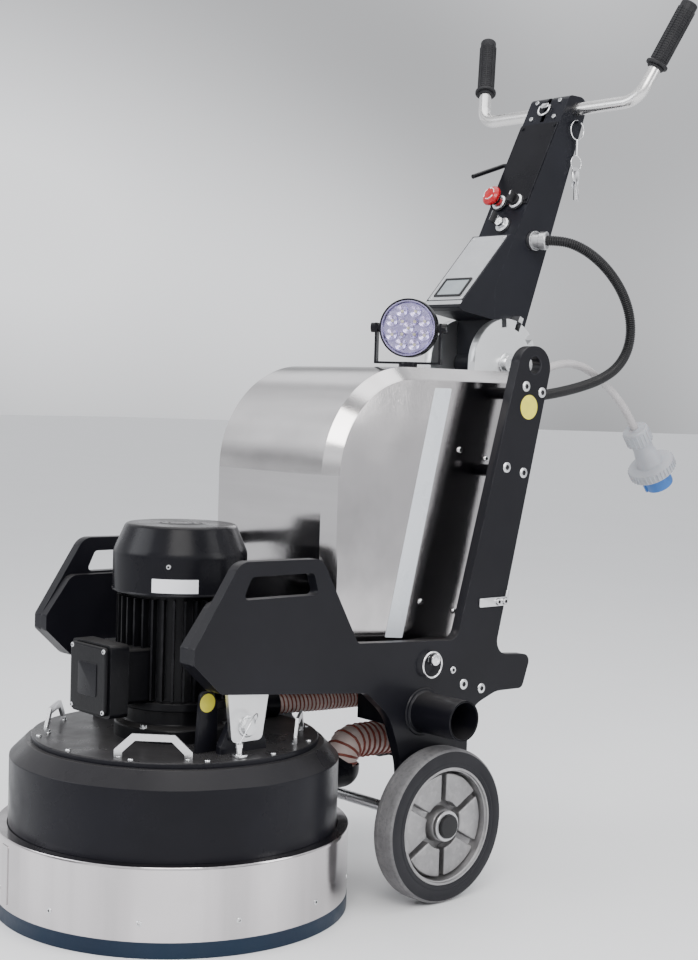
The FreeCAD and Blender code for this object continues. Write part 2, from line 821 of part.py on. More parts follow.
def deck_handle(angle):
    """A bent flat-bar lifting handle on the drum's deck, tangent to a circle."""
    outline = [(-62, 0, 0), (-62, 12, 3), (-34, 38, 4), (34, 38, 4), (62, 12, 3), (62, 0, 0)]
    inner = [(49, 0, 0), (49, 8, 3), (29, 27, 3), (-29, 27, 3), (-49, 8, 3), (-49, 0, 0)]
    spin = turn((0, 0, 1), angle)
    place = head_at(deck_high, 0, 0, spin).multiply(Placement(Vector(0, -205, 0), Rotation()))
    return padded("deck_handle", "XZ_Plane", [outline + inner], 5, place)


grouped([deck_handle(angle) for angle in (45, 135, 225, 315)], "deck_handles")

LUG_THICK = 12.0
LUG_X = HANGER_X - GAP - LUG_THICK
LUG_OUTLINE = [(-46, 0, 0), (46, 0, 0), (46, 12, 6), (20, 62, 20), (-20, 62, 20), (-46, 12, 6)]
lugs = []
for side in (1, -1):
    start_x = LUG_X if side > 0 else -LUG_X - LUG_THICK
    hole = ("circle", 0.0, dim("head_pivot_z") - deck_high, 9.05)
    lugs.append(padded("pivot_lug", "YZ_Plane", [LUG_OUTLINE, hole], LUG_THICK, head_at(deck_high, start_x)))
grouped(lugs, "pivot_lugs")


def hose_ports():
    """The drum's rear elbow for hose A and the deck's elbow for hose B."""
    corner = Vector(*HOSE_A[0][:3])
    outer = dim("port_radius")
    stub = Part.makeCylinder(outer, 60, corner + Vector(0, -60, -1), Vector(0, 1, 0))
    ball = Part.makeSphere(outer, corner + Vector(0, 0, -1))
    collar = Part.makeCylinder(outer, 8, corner + Vector(0, 0, -1), Vector(0, 0, 1))
    flange = Part.makeCylinder(outer + 8, 40, corner + Vector(0, -60, -1), Vector(0, 1, 0))
    drum_body = Part.makeCylinder(dim("drum_radius"), 400, Vector(0, dim("head_y"), 0))
    near_drum = Part.makeCylinder(dim("drum_radius") + 6, 400, Vector(0, dim("head_y"), 0))
    rear = stub.fuse([ball, collar, flange.common(near_drum)])
    rear = rear.cut(Part.makeCylinder(dim("hose_a_dia") / 2 + 0.3, 40, corner, Vector(0, 0, 1)))
    rear = rear.cut(drum_body).cut(block(-50, 200, corner.y, 0, corner.z + 7, 300))
    start = Vector(*HOSE_B[0][:3])
    way = run_way(HOSE_B[0], HOSE_B[1])
    post = start - way * 27.2
    radius_b = dim("hose_b_dia") / 2
    upright = Part.makeCylinder(26, 44, Vector(post.x, post.y, deck_high), Vector(0, 0, 1))
    cuff = Part.makeCylinder(radius_b + 3.5, 42, post, way)
    bore = Part.makeCylinder(radius_b + 0.3, 40, start, way)
    top = upright.fuse(cuff).cut(bore).cut(block(-100, 100, -300, 0, 200, deck_high))
    return Part.makeCompound([rear.removeSplitter(), top.removeSplitter()])


shaped(hose_ports(), "hose_ports")

FIXED_LOW = 128.0
fixed_loops = [
    [
        (17, FIXED_LOW, 0),
        (dim("fixed_pulley_radius"), FIXED_LOW, 0),
        (dim("fixed_pulley_radius"), 192, 0),
        (49, 192, 0),
        (49, 196, 0),
        (17, 196, 0),
    ]
]
name_part(turned("fixed_pulley", fixed_loops, head_at()), "fixed_pulley")


# ---------------------------------------------------------------- rotor, carrier, discs

rotor_loops = [
    [
        (0, 344, 0),
        (14, 344, 0),
        (14, 376, 0),
        (48, 376, 0),
        (48, 496, 0),
        (14, 496, 0),
        (14, 552, 0),
        (88, 552, 0),
        (88, 556, 0),
        (24, 556, 0),
        (24, 578, 0),
        (0, 578, 0),
    ]
]
rotor = turned("rotor_turning", rotor_loops, head_at())
blades = []
for k in range(7):
    spin = turn((0, 0, 1), 360.0 / 7 * k)
    place = head_at(555, 0, 0, spin).multiply(Placement(Vector(22, -2, 0), Rotation()))
    blades.append(box(place, 64, 4, 24, "blade"))
name_part(fused([rotor] + blades, "motor_rotor"), "motor_rotor")

CARRIER_LOW, CARRIER_HIGH = 72.0, 90.0
carrier_loops = [
    [
        (0, CARRIER_LOW, 0),
        (dim("carrier_radius"), CARRIER_LOW, 0),
        (dim("carrier_radius"), CARRIER_HIGH, 2),
        (48, CARRIER_HIGH, 0),
        (40, 120, 0),
        (14, 120, 0),
        (14, 330, 0),
        (0, 330, 0),
    ]
]
carrier = turned("carrier_turning", carrier_loops, head_at())
SPINDLE_BORE = 20.0
bores = []
DISC_ANGLES = (90.0, 210.0, 330.0)


def orbit(angle):
    spin = math.radians(angle)
    return dim("disc_orbit") * math.cos(spin), dim("disc_orbit") * math.sin(spin)


for angle in DISC_ANGLES:
    x, y = orbit(angle)
    bores.append(bar(head_at(CARRIER_LOW - 1, x, y), SPINDLE_BORE, CARRIER_HIGH - CARRIER_LOW + 2, "spindle_bore"))
name_part(cut(carrier, fused(bores, "spindle_bores"), "carrier"), "carrier")


def belt(angle, level):
    """A flat belt round the fixed pulley and one disc pulley, as a closed loop."""
    x, y = orbit(angle)
    big = dim("fixed_pulley_radius") + GAP
    small = dim("disc_pulley_radius") + GAP
    reach = dim("disc_orbit")

    def loop(grow, low, high):
        r1, r2 = big + grow, small + grow
        lean = math.asin((r1 - r2) / reach)
        s, c = math.sin(lean), math.cos(lean)
        a1 = Vector(r1 * s, r1 * c, 0)
        a2 = Vector(reach + r2 * s, r2 * c, 0)
        b1 = Vector(r1 * s, -r1 * c, 0)
        b2 = Vector(reach + r2 * s, -r2 * c, 0)
        edges = [
            Part.LineSegment(a1, a2).toShape(),
            Part.Arc(a2, Vector(reach + r2, 0, 0), b2).toShape(),
            Part.LineSegment(b2, b1).toShape(),
            Part.Arc(b1, Vector(-r1, 0, 0), a1).toShape(),
        ]
        face = Part.Face(Part.Wire(edges))
        face.translate(Vector(0, 0, low))
        return face.extrude(Vector(0, 0, high - low))

    ring = loop(dim("belt_thick"), level, level + 14).cut(loop(0.0, level - 1, level + 15))
    ring.rotate(Vector(0, 0, 0), Vector(0, 0, 1), angle)
    ring.translate(Vector(0, dim("head_y"), 0))
    return ring


BELT_LEVELS = (130.0, 150.0, 170.0)
belts = [belt(angle, level) for angle, level in zip(DISC_ANGLES, BELT_LEVELS)]
shaped(Part.makeCompound(belts), "disc_belts")

SEGMENTS = 9
for number, (angle, level) in enumerate(zip(DISC_ANGLES, BELT_LEVELS), start=1):
    x, y = orbit(angle)
    pulley = dim("disc_pulley_radius")
    spindle_loops = [
        [
            (0, 40, 0),
            (52, 40, 2),
            (52, 52, 2),
            (SPINDLE_BORE - 0.05, 58, 0),
            (SPINDLE_BORE - 0.05, CARRIER_HIGH + 6, 0),
            (14, CARRIER_HIGH + 6, 0),
            (14, level - 2, 0),
            (pulley, level - 2, 0),
            (pulley, level + 16, 0),
            (0, level + 16, 0),
        ]
    ]
    name_part(turned(f"disc_spindle_{number}", spindle_loops, head_at(0, x, y)), f"disc_spindle_{number}")
    plate_loops = [[(0, 14, 0), (dim("disc_radius"), 14, 2), (dim("disc_radius"), 24, 2), (60, 24, 0), (50, 40, 0), (0, 40, 0)]]
    disc = turned("disc_plate", plate_loops, head_at(0, x, y))
    pads = []
    for k in range(SEGMENTS):
        spin = turn((0, 0, 1), 360.0 / SEGMENTS * k)
        place = head_at(0, x, y, spin).multiply(Placement(Vector(68, -11, 0), Rotation()))
        pads.append(box(place, 38, 22, 15, "segment"))
    name_part(fused([disc] + pads, f"grinding_disc_{number}"), f"grinding_disc_{number}")


# ---------------------------------------------------------------- floating shroud

band = dim("band_radius")
band_loops = [
    [
        (band - 3, dim("band_low_z"), 0),
        (band, dim("band_low_z"), 0),
        (band, dim("band_high_z"), 1),
        (radius + 1.5, dim("band_high_z"), 0),
        (radius + 1.5, dim("band_high_z") - 5, 0),
        (band - 3, dim("band_high_z") - 5, 0),
    ]
]
name_part(turned("shroud_band", band_loops, head_at()), "shroud_band")
skirt = dim("skirt_thick")
skirt_loops = [
    [
        (band - skirt, 0, 1),
        (band + 0.5, 0, 1),
        (band + 0.5, dim("band_low_z"), 0),
        (band - 3.1, dim("band_low_z"), 0),
        (band - 3.1, dim("band_low_z") + 30, 1),
        (band - skirt, dim("band_low_z") + 30, 1),
    ]
]
name_part(turned("shroud_skirt", skirt_loops, head_at()), "shroud_skirt")


# ---------------------------------------------------------------- control column

PIVOT_Y, PIVOT_Z = dim("pivot_y"), dim("pivot_z")
HALF = dim("column_half")
COLUMN_WALL = dim("column_wall")


def column_front(z):
    """y of the column's front face at height z."""
    return 283.0 + 0.495 * (z - 1000.0)


def column_rear(z):
    return 406.0 + 0.359 * (z - 1000.0)


def column_outline(inset):
    """Side view (y, z, corner radius) of the column, drawn in by inset."""
    top = 1468.0 - inset
    return [
        (PIVOT_Y - 17 + inset, 905 + inset, 0),
        (PIVOT_Y - 17 + inset, 1013, 0),
        (column_front(1075) + 1.1 * inset, 1075, 0),
        (column_front(top) + 1.1 * inset, top, max(14 - inset, 8)),
        (column_rear(top) - 1.05 * inset, top, max(20 - inset, 12)),
        (column_rear(998) - 1.05 * inset, 998 - inset, 0),
        (PIVOT_Y + 34 - inset, 905 + inset, 0),
    ]


def prism(corners, x0, x1):
    """A solid with the (y, z, corner radius) outline, from x0 to x1."""
    edges = []
    for edge in corner_arcs(corners):
        edges.append(edge.toShape())
    wire = Part.Wire(Part.__sortEdges__(edges))
    face = Part.Face(wire)
    turned_face = face.copy()
    turned_face.Placement = Placement(Vector(0, 0, 0), Rotation(Vector(0, 1, 0), Vector(0, 0, 1), Vector(1, 0, 0), "ZXY"))
    turned_face.translate(Vector(x0, 0, 0))
    return turned_face.extrude(Vector(x1 - x0, 0, 0))


def along_column(distance, angle=None):
    """The point at that distance from the pivot along the lock direction."""
    lean = math.radians(dim("lock_angle") if angle is None else angle)
    return PIVOT_Y + distance * math.sin(lean), PIVOT_Z + distance * math.cos(lean)


BAR_Y, BAR_Z = dim("bar_y"), dim("bar_z")
BAR_RADIUS = dim("bar_dia") / 2
LOCK_SIDE = 11.0
LOCK_TRAVEL = 16.0
KEY_PIN = (532.0, 1415.0)


def lock_slot():
    """The clearance slot in the column's sides for the lock bar and its travel."""
    low = dim("notch_radius") - LOCK_SIDE / 2 - 1.0
    length = LOCK_SIDE + LOCK_TRAVEL + 3.0
    slot = Part.makeBox(2 * HALF + 2, LOCK_SIDE + 1.0, length, Vector(-HALF - 1, -LOCK_SIDE / 2 - 0.5, low))
    slot.rotate(Vector(0, 0, 0), Vector(1, 0, 0), -dim("lock_angle"))
    slot.translate(Vector(0, PIVOT_Y, PIVOT_Z))
    return slot


def column_shell():
    """A tapered folded box: open behind the clamp, slit at the top, hinged at its foot."""
    shell = prism(column_outline(0.0), -HALF, HALF).cut(prism(column_outline(COLUMN_WALL), -HALF + COLUMN_WALL, HALF - COLUMN_WALL))
    clamp = Part.makeCylinder(BAR_RADIUS + 9, 2 * HALF, Vector(-HALF, BAR_Y, BAR_Z), Vector(1, 0, 0))
    inside = prism(column_outline(1.0), -HALF, HALF)
    shell = shell.fuse(clamp.common(inside))
    shell = shell.cut(Part.makeCylinder(BAR_RADIUS + 0.05, 2 * HALF + 2, Vector(-HALF - 1, BAR_Y, BAR_Z), Vector(1, 0, 0)))
    shell = shell.cut(block(-5, 5, BAR_Y - 80, BAR_Y, 1416, 1480))
    boss = Part.makeCylinder(24, 2 * HALF, Vector(-HALF, PIVOT_Y, PIVOT_Z), Vector(1, 0, 0))
    shell = shell.fuse(boss).cut(Part.makeCylinder(12.05, 2 * HALF + 2, Vector(-HALF - 1, PIVOT_Y, PIVOT_Z), Vector(1, 0, 0)))
    pin = Part.makeCylinder(2, 12, Vector(HALF - 1, *KEY_PIN), Vector(1, 0, 0))
    pin_head = Part.makeCylinder(4, 2, Vector(HALF + 11, *KEY_PIN), Vector(1, 0, 0))
    return shell.cut(lock_slot()).fuse([pin, pin_head]).removeSplitter()


shaped(column_shell(), "column_shell")

FRONT_LEAN = math.degrees(math.atan(0.495))  # of the column's front face from upright
FRONT_TURN = turn((1, 0, 0), -FRONT_LEAN)


def on_front(z, x=0.0, out=0.0):
    """A placement on the column's front face: local +Y into the column, local Z up the face."""
    lean = math.radians(FRONT_LEAN)
    y = column_front(z) - out * math.cos(lean)
    return at(x, y, z + out * math.sin(lean), FRONT_TURN)


def facing_out(z, x, out=0.0):
    """A placement on the front face whose local Z is the face's outward normal."""
    return on_front(z, x, out).multiply(Placement(Vector(0, 0, 0), turn((1, 0, 0), 90)))


COVER_LOW, COVER_HIGH = 1243.0, 1411.0
cover_length = (COVER_HIGH - COVER_LOW) / math.cos(math.radians(FRONT_LEAN))
cover = box(on_front(COVER_LOW, -HALF + 1, 2.5), 2 * HALF - 2, 2.5, cover_length, "cover_sheet")
cover_screws = [
    bar(facing_out(z, x, 2.5), 3.6, 2.4, "cover_screw") for z in (COVER_LOW + 9, COVER_HIGH - 7) for x in (-42, 42)
]
grouped([cover] + cover_screws, "column_cover")


def console():
    """The display wedge under the switches: a raked bezel with a recess for the panel."""
    outline = [
        (column_front(1178), 1178, 0),
        (column_front(1178) - 14, 1180, 2),
        (233, 1044, 3),
        (224, 1032, 2),
        (236, 1026, 3),
        (PIVOT_Y - 17, 1013, 0),
        (column_front(1075), 1075, 0),
    ]
    body = prism(outline, -HALF, HALF)
    return body


shaped(console(), "console_box")

CONDUIT = [
    (68.7, 426.9, 1172.0),
    (94.0, 438.7, 1172.0),
    (118.0, 461.0, 1167.0),
    (133.0, 499.0, 1150.0),
    (138.0, 549.0, 1120.0),
    (138.0, 596.0, 1078.0),
    (138.0, 623.0, 1027.0),
    (138.0, 621.0, 974.0),
    (138.0, 589.0, 932.0),
    (137.0, 537.0, 906.0),
    (134.0, 480.0, 890.0),
    (130.0, 422.0, 878.0),
    (127.0, 366.0, 870.0),
    (126.0, 323.2, 866.0),
]
GLAND_SEAT = Vector(50.0, 421.0, 1172.0)
gland_base = turned("gland_base", [[(0, 0, 0), (19, 0, 1), (19, 9, 1), (0, 9, 0)]], at(*GLAND_SEAT, ALONG_X))
gland_way = run_way(CONDUIT[0], CONDUIT[1])
gland_nut_loops = [
    [
        (0, -8, 0),
        (15, -8, 0),
        (15, 9, 0),
        (18, 10, 1),
        (18, 24, 3),
        (10.3, 25, 0),
        (10.3, 13, 0),
        (0, 13, 0),
    ]
]
nut_start = Vector(*CONDUIT[0]) - gland_way * 13.0
gland_nut = turned("gland_nut", gland_nut_loops, at(*nut_start, Rotation(Vector(0, 0, 1), gland_way)))
gland_whole = fused([gland_base, gland_nut], "gland_whole")
column_side = box(at(0, 380, 1120), HALF, 100, 100, "column_side")
name_part(cut(gland_whole, column_side, "conduit_gland"), "conduit_gland")


# ---------------------------------------------------------------- handlebar

ARM_SPREAD = math.radians(17.3)
ARM_LENGTH = 206.0
GRIP_START = 74.0
BEND = 44.0


def handlebar_plane(point):
    """Turns (x, height in the bar's plane) into the machine frame."""
    lean = math.radians(dim("bar_lean"))
    return Vector(point[0], BAR_Y + point[1] * math.sin(lean), BAR_Z + point[1] * math.cos(lean))


def handlebar():
    """One bent tube: straight through the clamp, with an arm up to each grip."""
    reach = BEND * math.tan((math.pi / 2 - ARM_SPREAD) / 2)
    corner = dim("bar_corner_x")
    tip = (corner + ARM_LENGTH * math.sin(ARM_SPREAD), ARM_LENGTH * math.cos(ARM_SPREAD))
    start = (corner - reach, 0.0)
    leave = (corner + reach * math.sin(ARM_SPREAD), reach * math.cos(ARM_SPREAD))
    centre = (corner - reach, BEND)
    half = (math.pi / 2 - ARM_SPREAD) / 2
    middle = (centre[0] + BEND * math.sin(half), centre[1] - BEND * math.cos(half))

    def side(sign, point):
        return handlebar_plane((sign * point[0], point[1]))

    edges = [
        Part.LineSegment(side(-1, tip), side(-1, leave)).toShape(),
        Part.Arc(side(-1, leave), side(-1, middle), side(-1, start)).toShape(),
        Part.LineSegment(side(-1, start), side(1, start)).toShape(),
        Part.Arc(side(1, start), side(1, middle), side(1, leave)).toShape(),
        Part.LineSegment(side(1, leave), side(1, tip)).toShape(),
    ]
    path = Part.Wire(edges)
    direction = side(-1, leave) - side(-1, tip)
    outer = Part.Wire(Part.makeCircle(BAR_RADIUS, side(-1, tip), direction))
    inner = Part.Wire(Part.makeCircle(BAR_RADIUS - 2.5, side(-1, tip), direction))
    solid = path.makePipeShell([outer], True, True)
    return solid.cut(path.makePipeShell([inner], True, True))


shaped(handlebar(), "handlebar")


def grip(sign):
    """A rubber grip with a flange at its lower end and a closed tip."""
    corner = dim("bar_corner_x")
    direction = handlebar_plane((sign * (corner + math.sin(ARM_SPREAD)), math.cos(ARM_SPREAD)))
    base = handlebar_plane((sign * corner, 0.0))
    direction = (direction - base).normalize()
    length = ARM_LENGTH - GRIP_START + 4.0
    tube = BAR_RADIUS + GAP / 8
    outer = dim("grip_dia") / 2
    loops = [
        [
            (tube, 0, 0),
            (22, 0, 2),
            (22, 6, 2),
            (outer, 9, 0),
            (outer, length, 4),
            (0, length, 0),
            (0, length - 3.5, 0),
            (tube, length - 3.5, 0),
        ]
    ]
    start = base + direction * GRIP_START
    place = at(start.x, start.y, start.z, Rotation(Vector(0, 0, 1), direction))
    return turned("grip", loops, place)


grouped([grip(1), grip(-1)], "handlebar_grips")


# ---------------------------------------------------------------- switches

ESTOP_Z, ESTOP_X = 1246.0, -22.0
SELECTOR_Z, SELECTOR_X = 1246.0, 22.0
KEY_Z, KEY_X = 1200.0, 8.0


def switch_bezel(z, x, out):
    """The fixed round bezel that a switch sits in."""
    loops = [[(9.4, 0, 0), (15.5, 0, 0), (15.5, 6, 1.5), (12.5, 8, 1), (9.4, 8, 0)]]
    return turned("bezel", loops, facing_out(z, x, out))


# ---------------------------------------------------------------- E-stop, selector and key

estop_loops = [[(0, 4.5, 0), (9, 4.5, 0), (9, 18, 0), (13, 20, 2), (20, 26, 4), (20, 32, 4), (14, 38, 8), (0, 39, 0)]]
name_part(turned("estop_button", estop_loops, facing_out(ESTOP_Z, ESTOP_X, 2.5)), "estop_button")

selector_cap = turned("selector_cap", [[(0, 0.5, 0), (9, 0.5, 0), (9, 8.4, 0), (12, 8.4, 0), (12, 14, 1), (0, 14, 0)]], facing_out(SELECTOR_Z, SELECTOR_X, 2.5))
selector_place = facing_out(SELECTOR_Z, SELECTOR_X, 2.5).multiply(Placement(Vector(-4, -11.5, 13), Rotation()))
selector_fin = box(selector_place, 8, 23, 13, "selector_fin")
name_part(fused([selector_cap, selector_fin], "selector_knob"), "selector_knob")

key_barrel = turned("key_barrel", [[(0, 0.5, 0), (9, 0.5, 0), (9, 18, 1), (0, 18, 0)]], facing_out(KEY_Z, KEY_X, 0))
key_blade_place = facing_out(KEY_Z, KEY_X, 0).multiply(Placement(Vector(-1, -10, 17), Rotation()))
key_blade = box(key_blade_place, 2, 20, 24, "key_bow")
name_part(fused([key_barrel, key_blade], "switch_key"), "switch_key")

bezels = [switch_bezel(ESTOP_Z, ESTOP_X, 2.5), switch_bezel(SELECTOR_Z, SELECTOR_X, 2.5), switch_bezel(KEY_Z, KEY_X, 0)]
grouped(bezels, "switch_bezels")


# ---------------------------------------------------------------- lock bar and lever

bar_low = dim("notch_radius") - LOCK_SIDE / 2 + LOCK_TRAVEL  # drawn lifted clear of the cheeks
lock_half = HALF + dim("quadrant_thick") + 3.0
lock_place = at(0, PIVOT_Y, PIVOT_Z, turn((1, 0, 0), -dim("lock_angle")))
lock_bar = box(
    lock_place.multiply(Placement(Vector(-lock_half, -LOCK_SIDE / 2, bar_low), Rotation())),
    2 * lock_half,
    LOCK_SIDE,
    LOCK_SIDE,
    "lock_cross_bar",
)
pull_rod = bar(lock_place.multiply(Placement(Vector(-20, 0, bar_low + LOCK_SIDE), Rotation())), 4, 300, "pull_rod")
name_part(fused([lock_bar, pull_rod], "lock_bar"), "lock_bar")

LEVER_Y, LEVER_Z = 452.0, 1330.0
LEVER_RADIUS = 4.5


def lock_lever():
    """A bent rod: out of the column's right side, then forward and down to its end."""
    x0, x1 = -HALF - 0.5, -HALF - 16.0
    points = [(x0, LEVER_Y, LEVER_Z), (x1, LEVER_Y, LEVER_Z), (x1 - 1, LEVER_Y - 84, LEVER_Z - 30)]
    root = Part.makeCylinder(LEVER_RADIUS, x0 - x1, Vector(*points[0]), Vector(-1, 0, 0))
    ball = Part.makeSphere(LEVER_RADIUS, Vector(*points[1]))
    arm_way = Vector(*points[2]) - Vector(*points[1])
    arm = Part.makeCylinder(LEVER_RADIUS, arm_way.Length, Vector(*points[1]), arm_way)
    return root.fuse([ball, arm]).removeSplitter()


shaped(lock_lever(), "lock_lever")


# ---------------------------------------------------------------- conduit, mains cord and plug

shaped(swept_tube(CONDUIT, dim("conduit_dia"), "conduit"), "conduit")

MAINS = [
    (98.0, 323.7, 889.0),
    (99.0, 366.0, 898.0),
    (104.0, 412.0, 924.0),
    (110.0, 462.0, 937.0),
    (112.0, 515.0, 931.0),
    (112.0, 563.0, 908.0),
    (112.0, 608.0, 881.0),
    (112.0, 650.0, 847.0),
    (112.0, 678.0, 811.0),
]
shaped(swept_tube(MAINS, dim("mains_dia"), "mains_cord"), "mains_cord")

PLUG_TURN = Rotation(Vector(0, 0, 1), run_way(MAINS[-2], MAINS[-1]))
plug_at = at(*MAINS[-1], PLUG_TURN)
plug_loops = [
    [
        (0, 0, 0),
        (15, 0, 0),
        (24, 2, 1),
        (27, 8, 2),
        (27, 33, 3),
        (22, 38, 0),
        (21, 52, 6),
        (28, 85, 2),
        (44, 90, 0),
        (49.5, 93, 2),
        (49.5, 112, 2),
        (38, 114, 0),
        (0, 114, 0),
    ]
]
name_part(turned("plug_body", plug_loops, plug_at), "plug_body")
shroud_loops = [[(0, 114, 0), (32, 114, 0), (32, 146, 2), (27, 146, 2), (27, 121, 0), (0, 121, 0)]]
shroud = turned("blue_shroud", shroud_loops, plug_at)
pins = []
for k in range(4):
    spin = Placement(Vector(0, 0, 0), turn((0, 0, 1), 90 * k + 20))
    pins.append(bar(plug_at.multiply(spin).multiply(Placement(Vector(15, 0, 120), Rotation())), 3, 22, "pin"))
name_part(fused([shroud] + pins, "plug_shroud"), "plug_shroud")

def rear_gland(point, towards, bore, outer):
    """A cable gland on the cabinet's back, in line with the first run of its cord."""
    loops = [[(bore, -3, 0), (outer, -3, 0), (outer, 13, 2), (bore, 18, 0)]]
    turning = Rotation(Vector(0, 0, 1), run_way(point, towards))
    return turned("rear_gland", loops, at(*point, turning))


gland_box = box(at(75, 300, 838), 75, 22, 70, "gland_box")
mains_gland = rear_gland(MAINS[0], MAINS[1], 8.0, 15.0)
conduit_end_gland = rear_gland(CONDUIT[-1], CONDUIT[-2], 10.0, 16.5)
name_part(fused([gland_box, mains_gland, conduit_end_gland], "cabinet_glands"), "cabinet_glands")


# ---------------------------------------------------------------- work lamp

LAMP = at(dim("lamp_x"), dim("lamp_y"), dim("lamp_z"), turn((0, 0, 1), dim("lamp_yaw")))
LAMP_BACK = LAMP.multiply(Placement(Vector(0, 0, 0), turn((1, 0, 0), 90)))
lamp_radius = dim("lamp_radius")
LAMP_DEPTH = 40.0
housing_loops = [
    [
        (0, -LAMP_DEPTH, 0),
        (30, -LAMP_DEPTH, 2),
        (lamp_radius - 3, -20, 2),
        (lamp_radius, -14, 0),
        (lamp_radius, 8, 1),
        (lamp_radius - 3, 8, 0),
        (lamp_radius - 3, 2, 0),
        (0, 2, 0),
    ]
]
lamp_bowl = turned("lamp_bowl", housing_loops, LAMP_BACK)
LAMP_PIVOT = 3.0  # behind the lamp's middle
bosses = []
for side in (1, -1):
    boss_place = Placement(Vector(side * 51.5, LAMP_PIVOT, 0), turn((0, 1, 0), 90 * side))
    bosses.append(bar(LAMP.multiply(boss_place), 8, 6.7, "pivot_boss"))
name_part(fused([lamp_bowl] + bosses, "lamp_housing"), "lamp_housing")
lens_loops = [[(0, 2, 0), (lamp_radius - 3.1, 2, 0), (lamp_radius - 3.1, 6, 0), (0, 6, 0)]]
name_part(turned("lamp_lens", lens_loops, LAMP_BACK), "lamp_lens")


def lamp_bracket():
    """A yoke under the lamp on a swivel foot."""
    base = dim("hood_top_z") - dim("lamp_z") + 0.3
    y0, y1 = LAMP_PIVOT - 9, LAMP_PIVOT + 9
    foot = Part.makeCylinder(17, -62 - base, Vector(0, LAMP_PIVOT, base), Vector(0, 0, 1))
    web = block(-62.5, 62.5, y0, y1, -66, -62)
    arms = [block(s * 60.5 - 2, s * 60.5 + 2, y0, y1, -66, 9) for s in (1, -1)]
    knobs = [Part.makeCylinder(9, 9, Vector(s * 62, LAMP_PIVOT, 0), Vector(s, 0, 0)) for s in (1, -1)]
    return foot.fuse([web, *arms, *knobs]).removeSplitter()


shaped(lamp_bracket(), "lamp_bracket", LAMP)


# ---------------------------------------------------------------- small moving pieces


def ring_pin(side):
    """A quick-release pin through a side plate and its inner plate, with a pull ring."""
    y, z = RING_PIN
    length = dim("plate_thick") + dim("inner_plate_thick") + 6
    shaft = Part.makeCylinder(PIN_RADIUS, length, Vector(side * dim("plate_out_x"), y, z), Vector(-side, 0, 0))
    head = Part.makeCylinder(9.5, 12, Vector(side * dim("plate_out_x"), y, z), Vector(side, 0, 0))
    ring = Part.makeTorus(22, 1.8, Vector(side * (dim("plate_out_x") + 9), y - 6, z - 8), Vector(1, 0, 0))
    arm = Part.makeCylinder(2.0, 12.5, Vector(side * (dim("plate_out_x") + 9), y, z), Vector(0, 6, 8))
    return shaft.fuse([head, ring, arm]).removeSplitter()


shaped(ring_pin(1), "ring_pin_left")

def key_ring():
    """A split ring on the column's key pin, with a link, a small ring and a key."""
    x, y, z = HALF + 7.0, KEY_PIN[0], KEY_PIN[1] - 15.5
    big = Part.makeTorus(19, 1.2, Vector(x, y, z), Vector(1, 0, 0))
    link = Part.makeCylinder(2.5, 33, Vector(x, y, z - 18), Vector(0, 0, -1))
    small = Part.makeTorus(15, 1.0, Vector(x, y, z - 65), Vector(1, 0, 0))
    blade = block(x - 1, x + 1, y - 3.5, y + 3.5, z - 138, z - 85)
    bow = Part.makeCylinder(11, 2, Vector(x - 1, y, z - 84), Vector(1, 0, 0))
    return big.fuse([link, small, blade, bow])


shaped(key_ring(), "key_ring")


# ---------------------------------------------------------------- checks and export

doc.recompute()
broken = []
for item in doc.Objects:
    if "Invalid" in item.State or "Error" in item.State:
        broken.append(f"{item.Label}: {item.State}")
for item in parts:
    shape = item.Shape
    if shape.isNull() or not shape.isValid() or not shape.Solids:
        broken.append(f"{item.Label}: shape is null, invalid or has no solid")
if broken:
    raise RuntimeError("; ".join(broken))

os.makedirs("parts", exist_ok=True)
for item in parts:
    item.Shape.exportStep(f"parts/{item.Label}.step")
print(len(parts), "sub-parts written")
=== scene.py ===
import math

import bmesh
import bpy
from mathutils import Matrix, Vector


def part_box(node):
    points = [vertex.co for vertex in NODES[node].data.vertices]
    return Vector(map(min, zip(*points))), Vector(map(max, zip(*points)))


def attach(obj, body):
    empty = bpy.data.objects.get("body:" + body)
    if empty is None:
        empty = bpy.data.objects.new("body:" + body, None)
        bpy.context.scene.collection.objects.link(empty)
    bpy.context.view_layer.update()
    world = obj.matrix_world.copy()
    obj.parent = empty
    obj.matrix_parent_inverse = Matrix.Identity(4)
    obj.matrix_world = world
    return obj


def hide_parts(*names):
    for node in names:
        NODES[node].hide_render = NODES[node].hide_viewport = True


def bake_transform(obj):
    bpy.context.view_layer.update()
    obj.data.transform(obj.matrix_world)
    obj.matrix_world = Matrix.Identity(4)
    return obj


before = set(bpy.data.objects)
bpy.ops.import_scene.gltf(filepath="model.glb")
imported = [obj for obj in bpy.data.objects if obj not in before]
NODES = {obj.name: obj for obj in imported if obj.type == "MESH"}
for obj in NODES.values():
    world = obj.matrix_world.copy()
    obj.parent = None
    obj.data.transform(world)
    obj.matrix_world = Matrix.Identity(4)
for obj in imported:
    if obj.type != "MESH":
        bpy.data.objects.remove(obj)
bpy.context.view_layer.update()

# Machine coordinates in this file are millimetres: X to the machine's left, +Y to the
# operator, Z up, with y = 0 and x = 0 at the middle of the wheel axle.
axle_low, axle_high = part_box("axle")
AXLE = (axle_low + axle_high) / 2
MILLIMETRES = Matrix.Scale(0.001, 4)

# Driving places, in machine millimetres.
HEAD_Y = -364.0         # the grinding head's and motor's upright axis
WHEEL_FACE = 290.0      # the wheels' outer faces
PLATE_FACE = 235.0      # the side plates' outer faces
HOOD_FACE = 165.0       # the hood's side faces
BAND_RADIUS = 295.0
WHEEL_Z = AXLE.z * 1000
PORT_Y, PORT_Z = -16.0, 323.0
PORT_FACE = 335.0       # the open end of the dust outlet
PIVOT_Y, PIVOT_Z = 339.0, 930.0     # the column's tilt axis


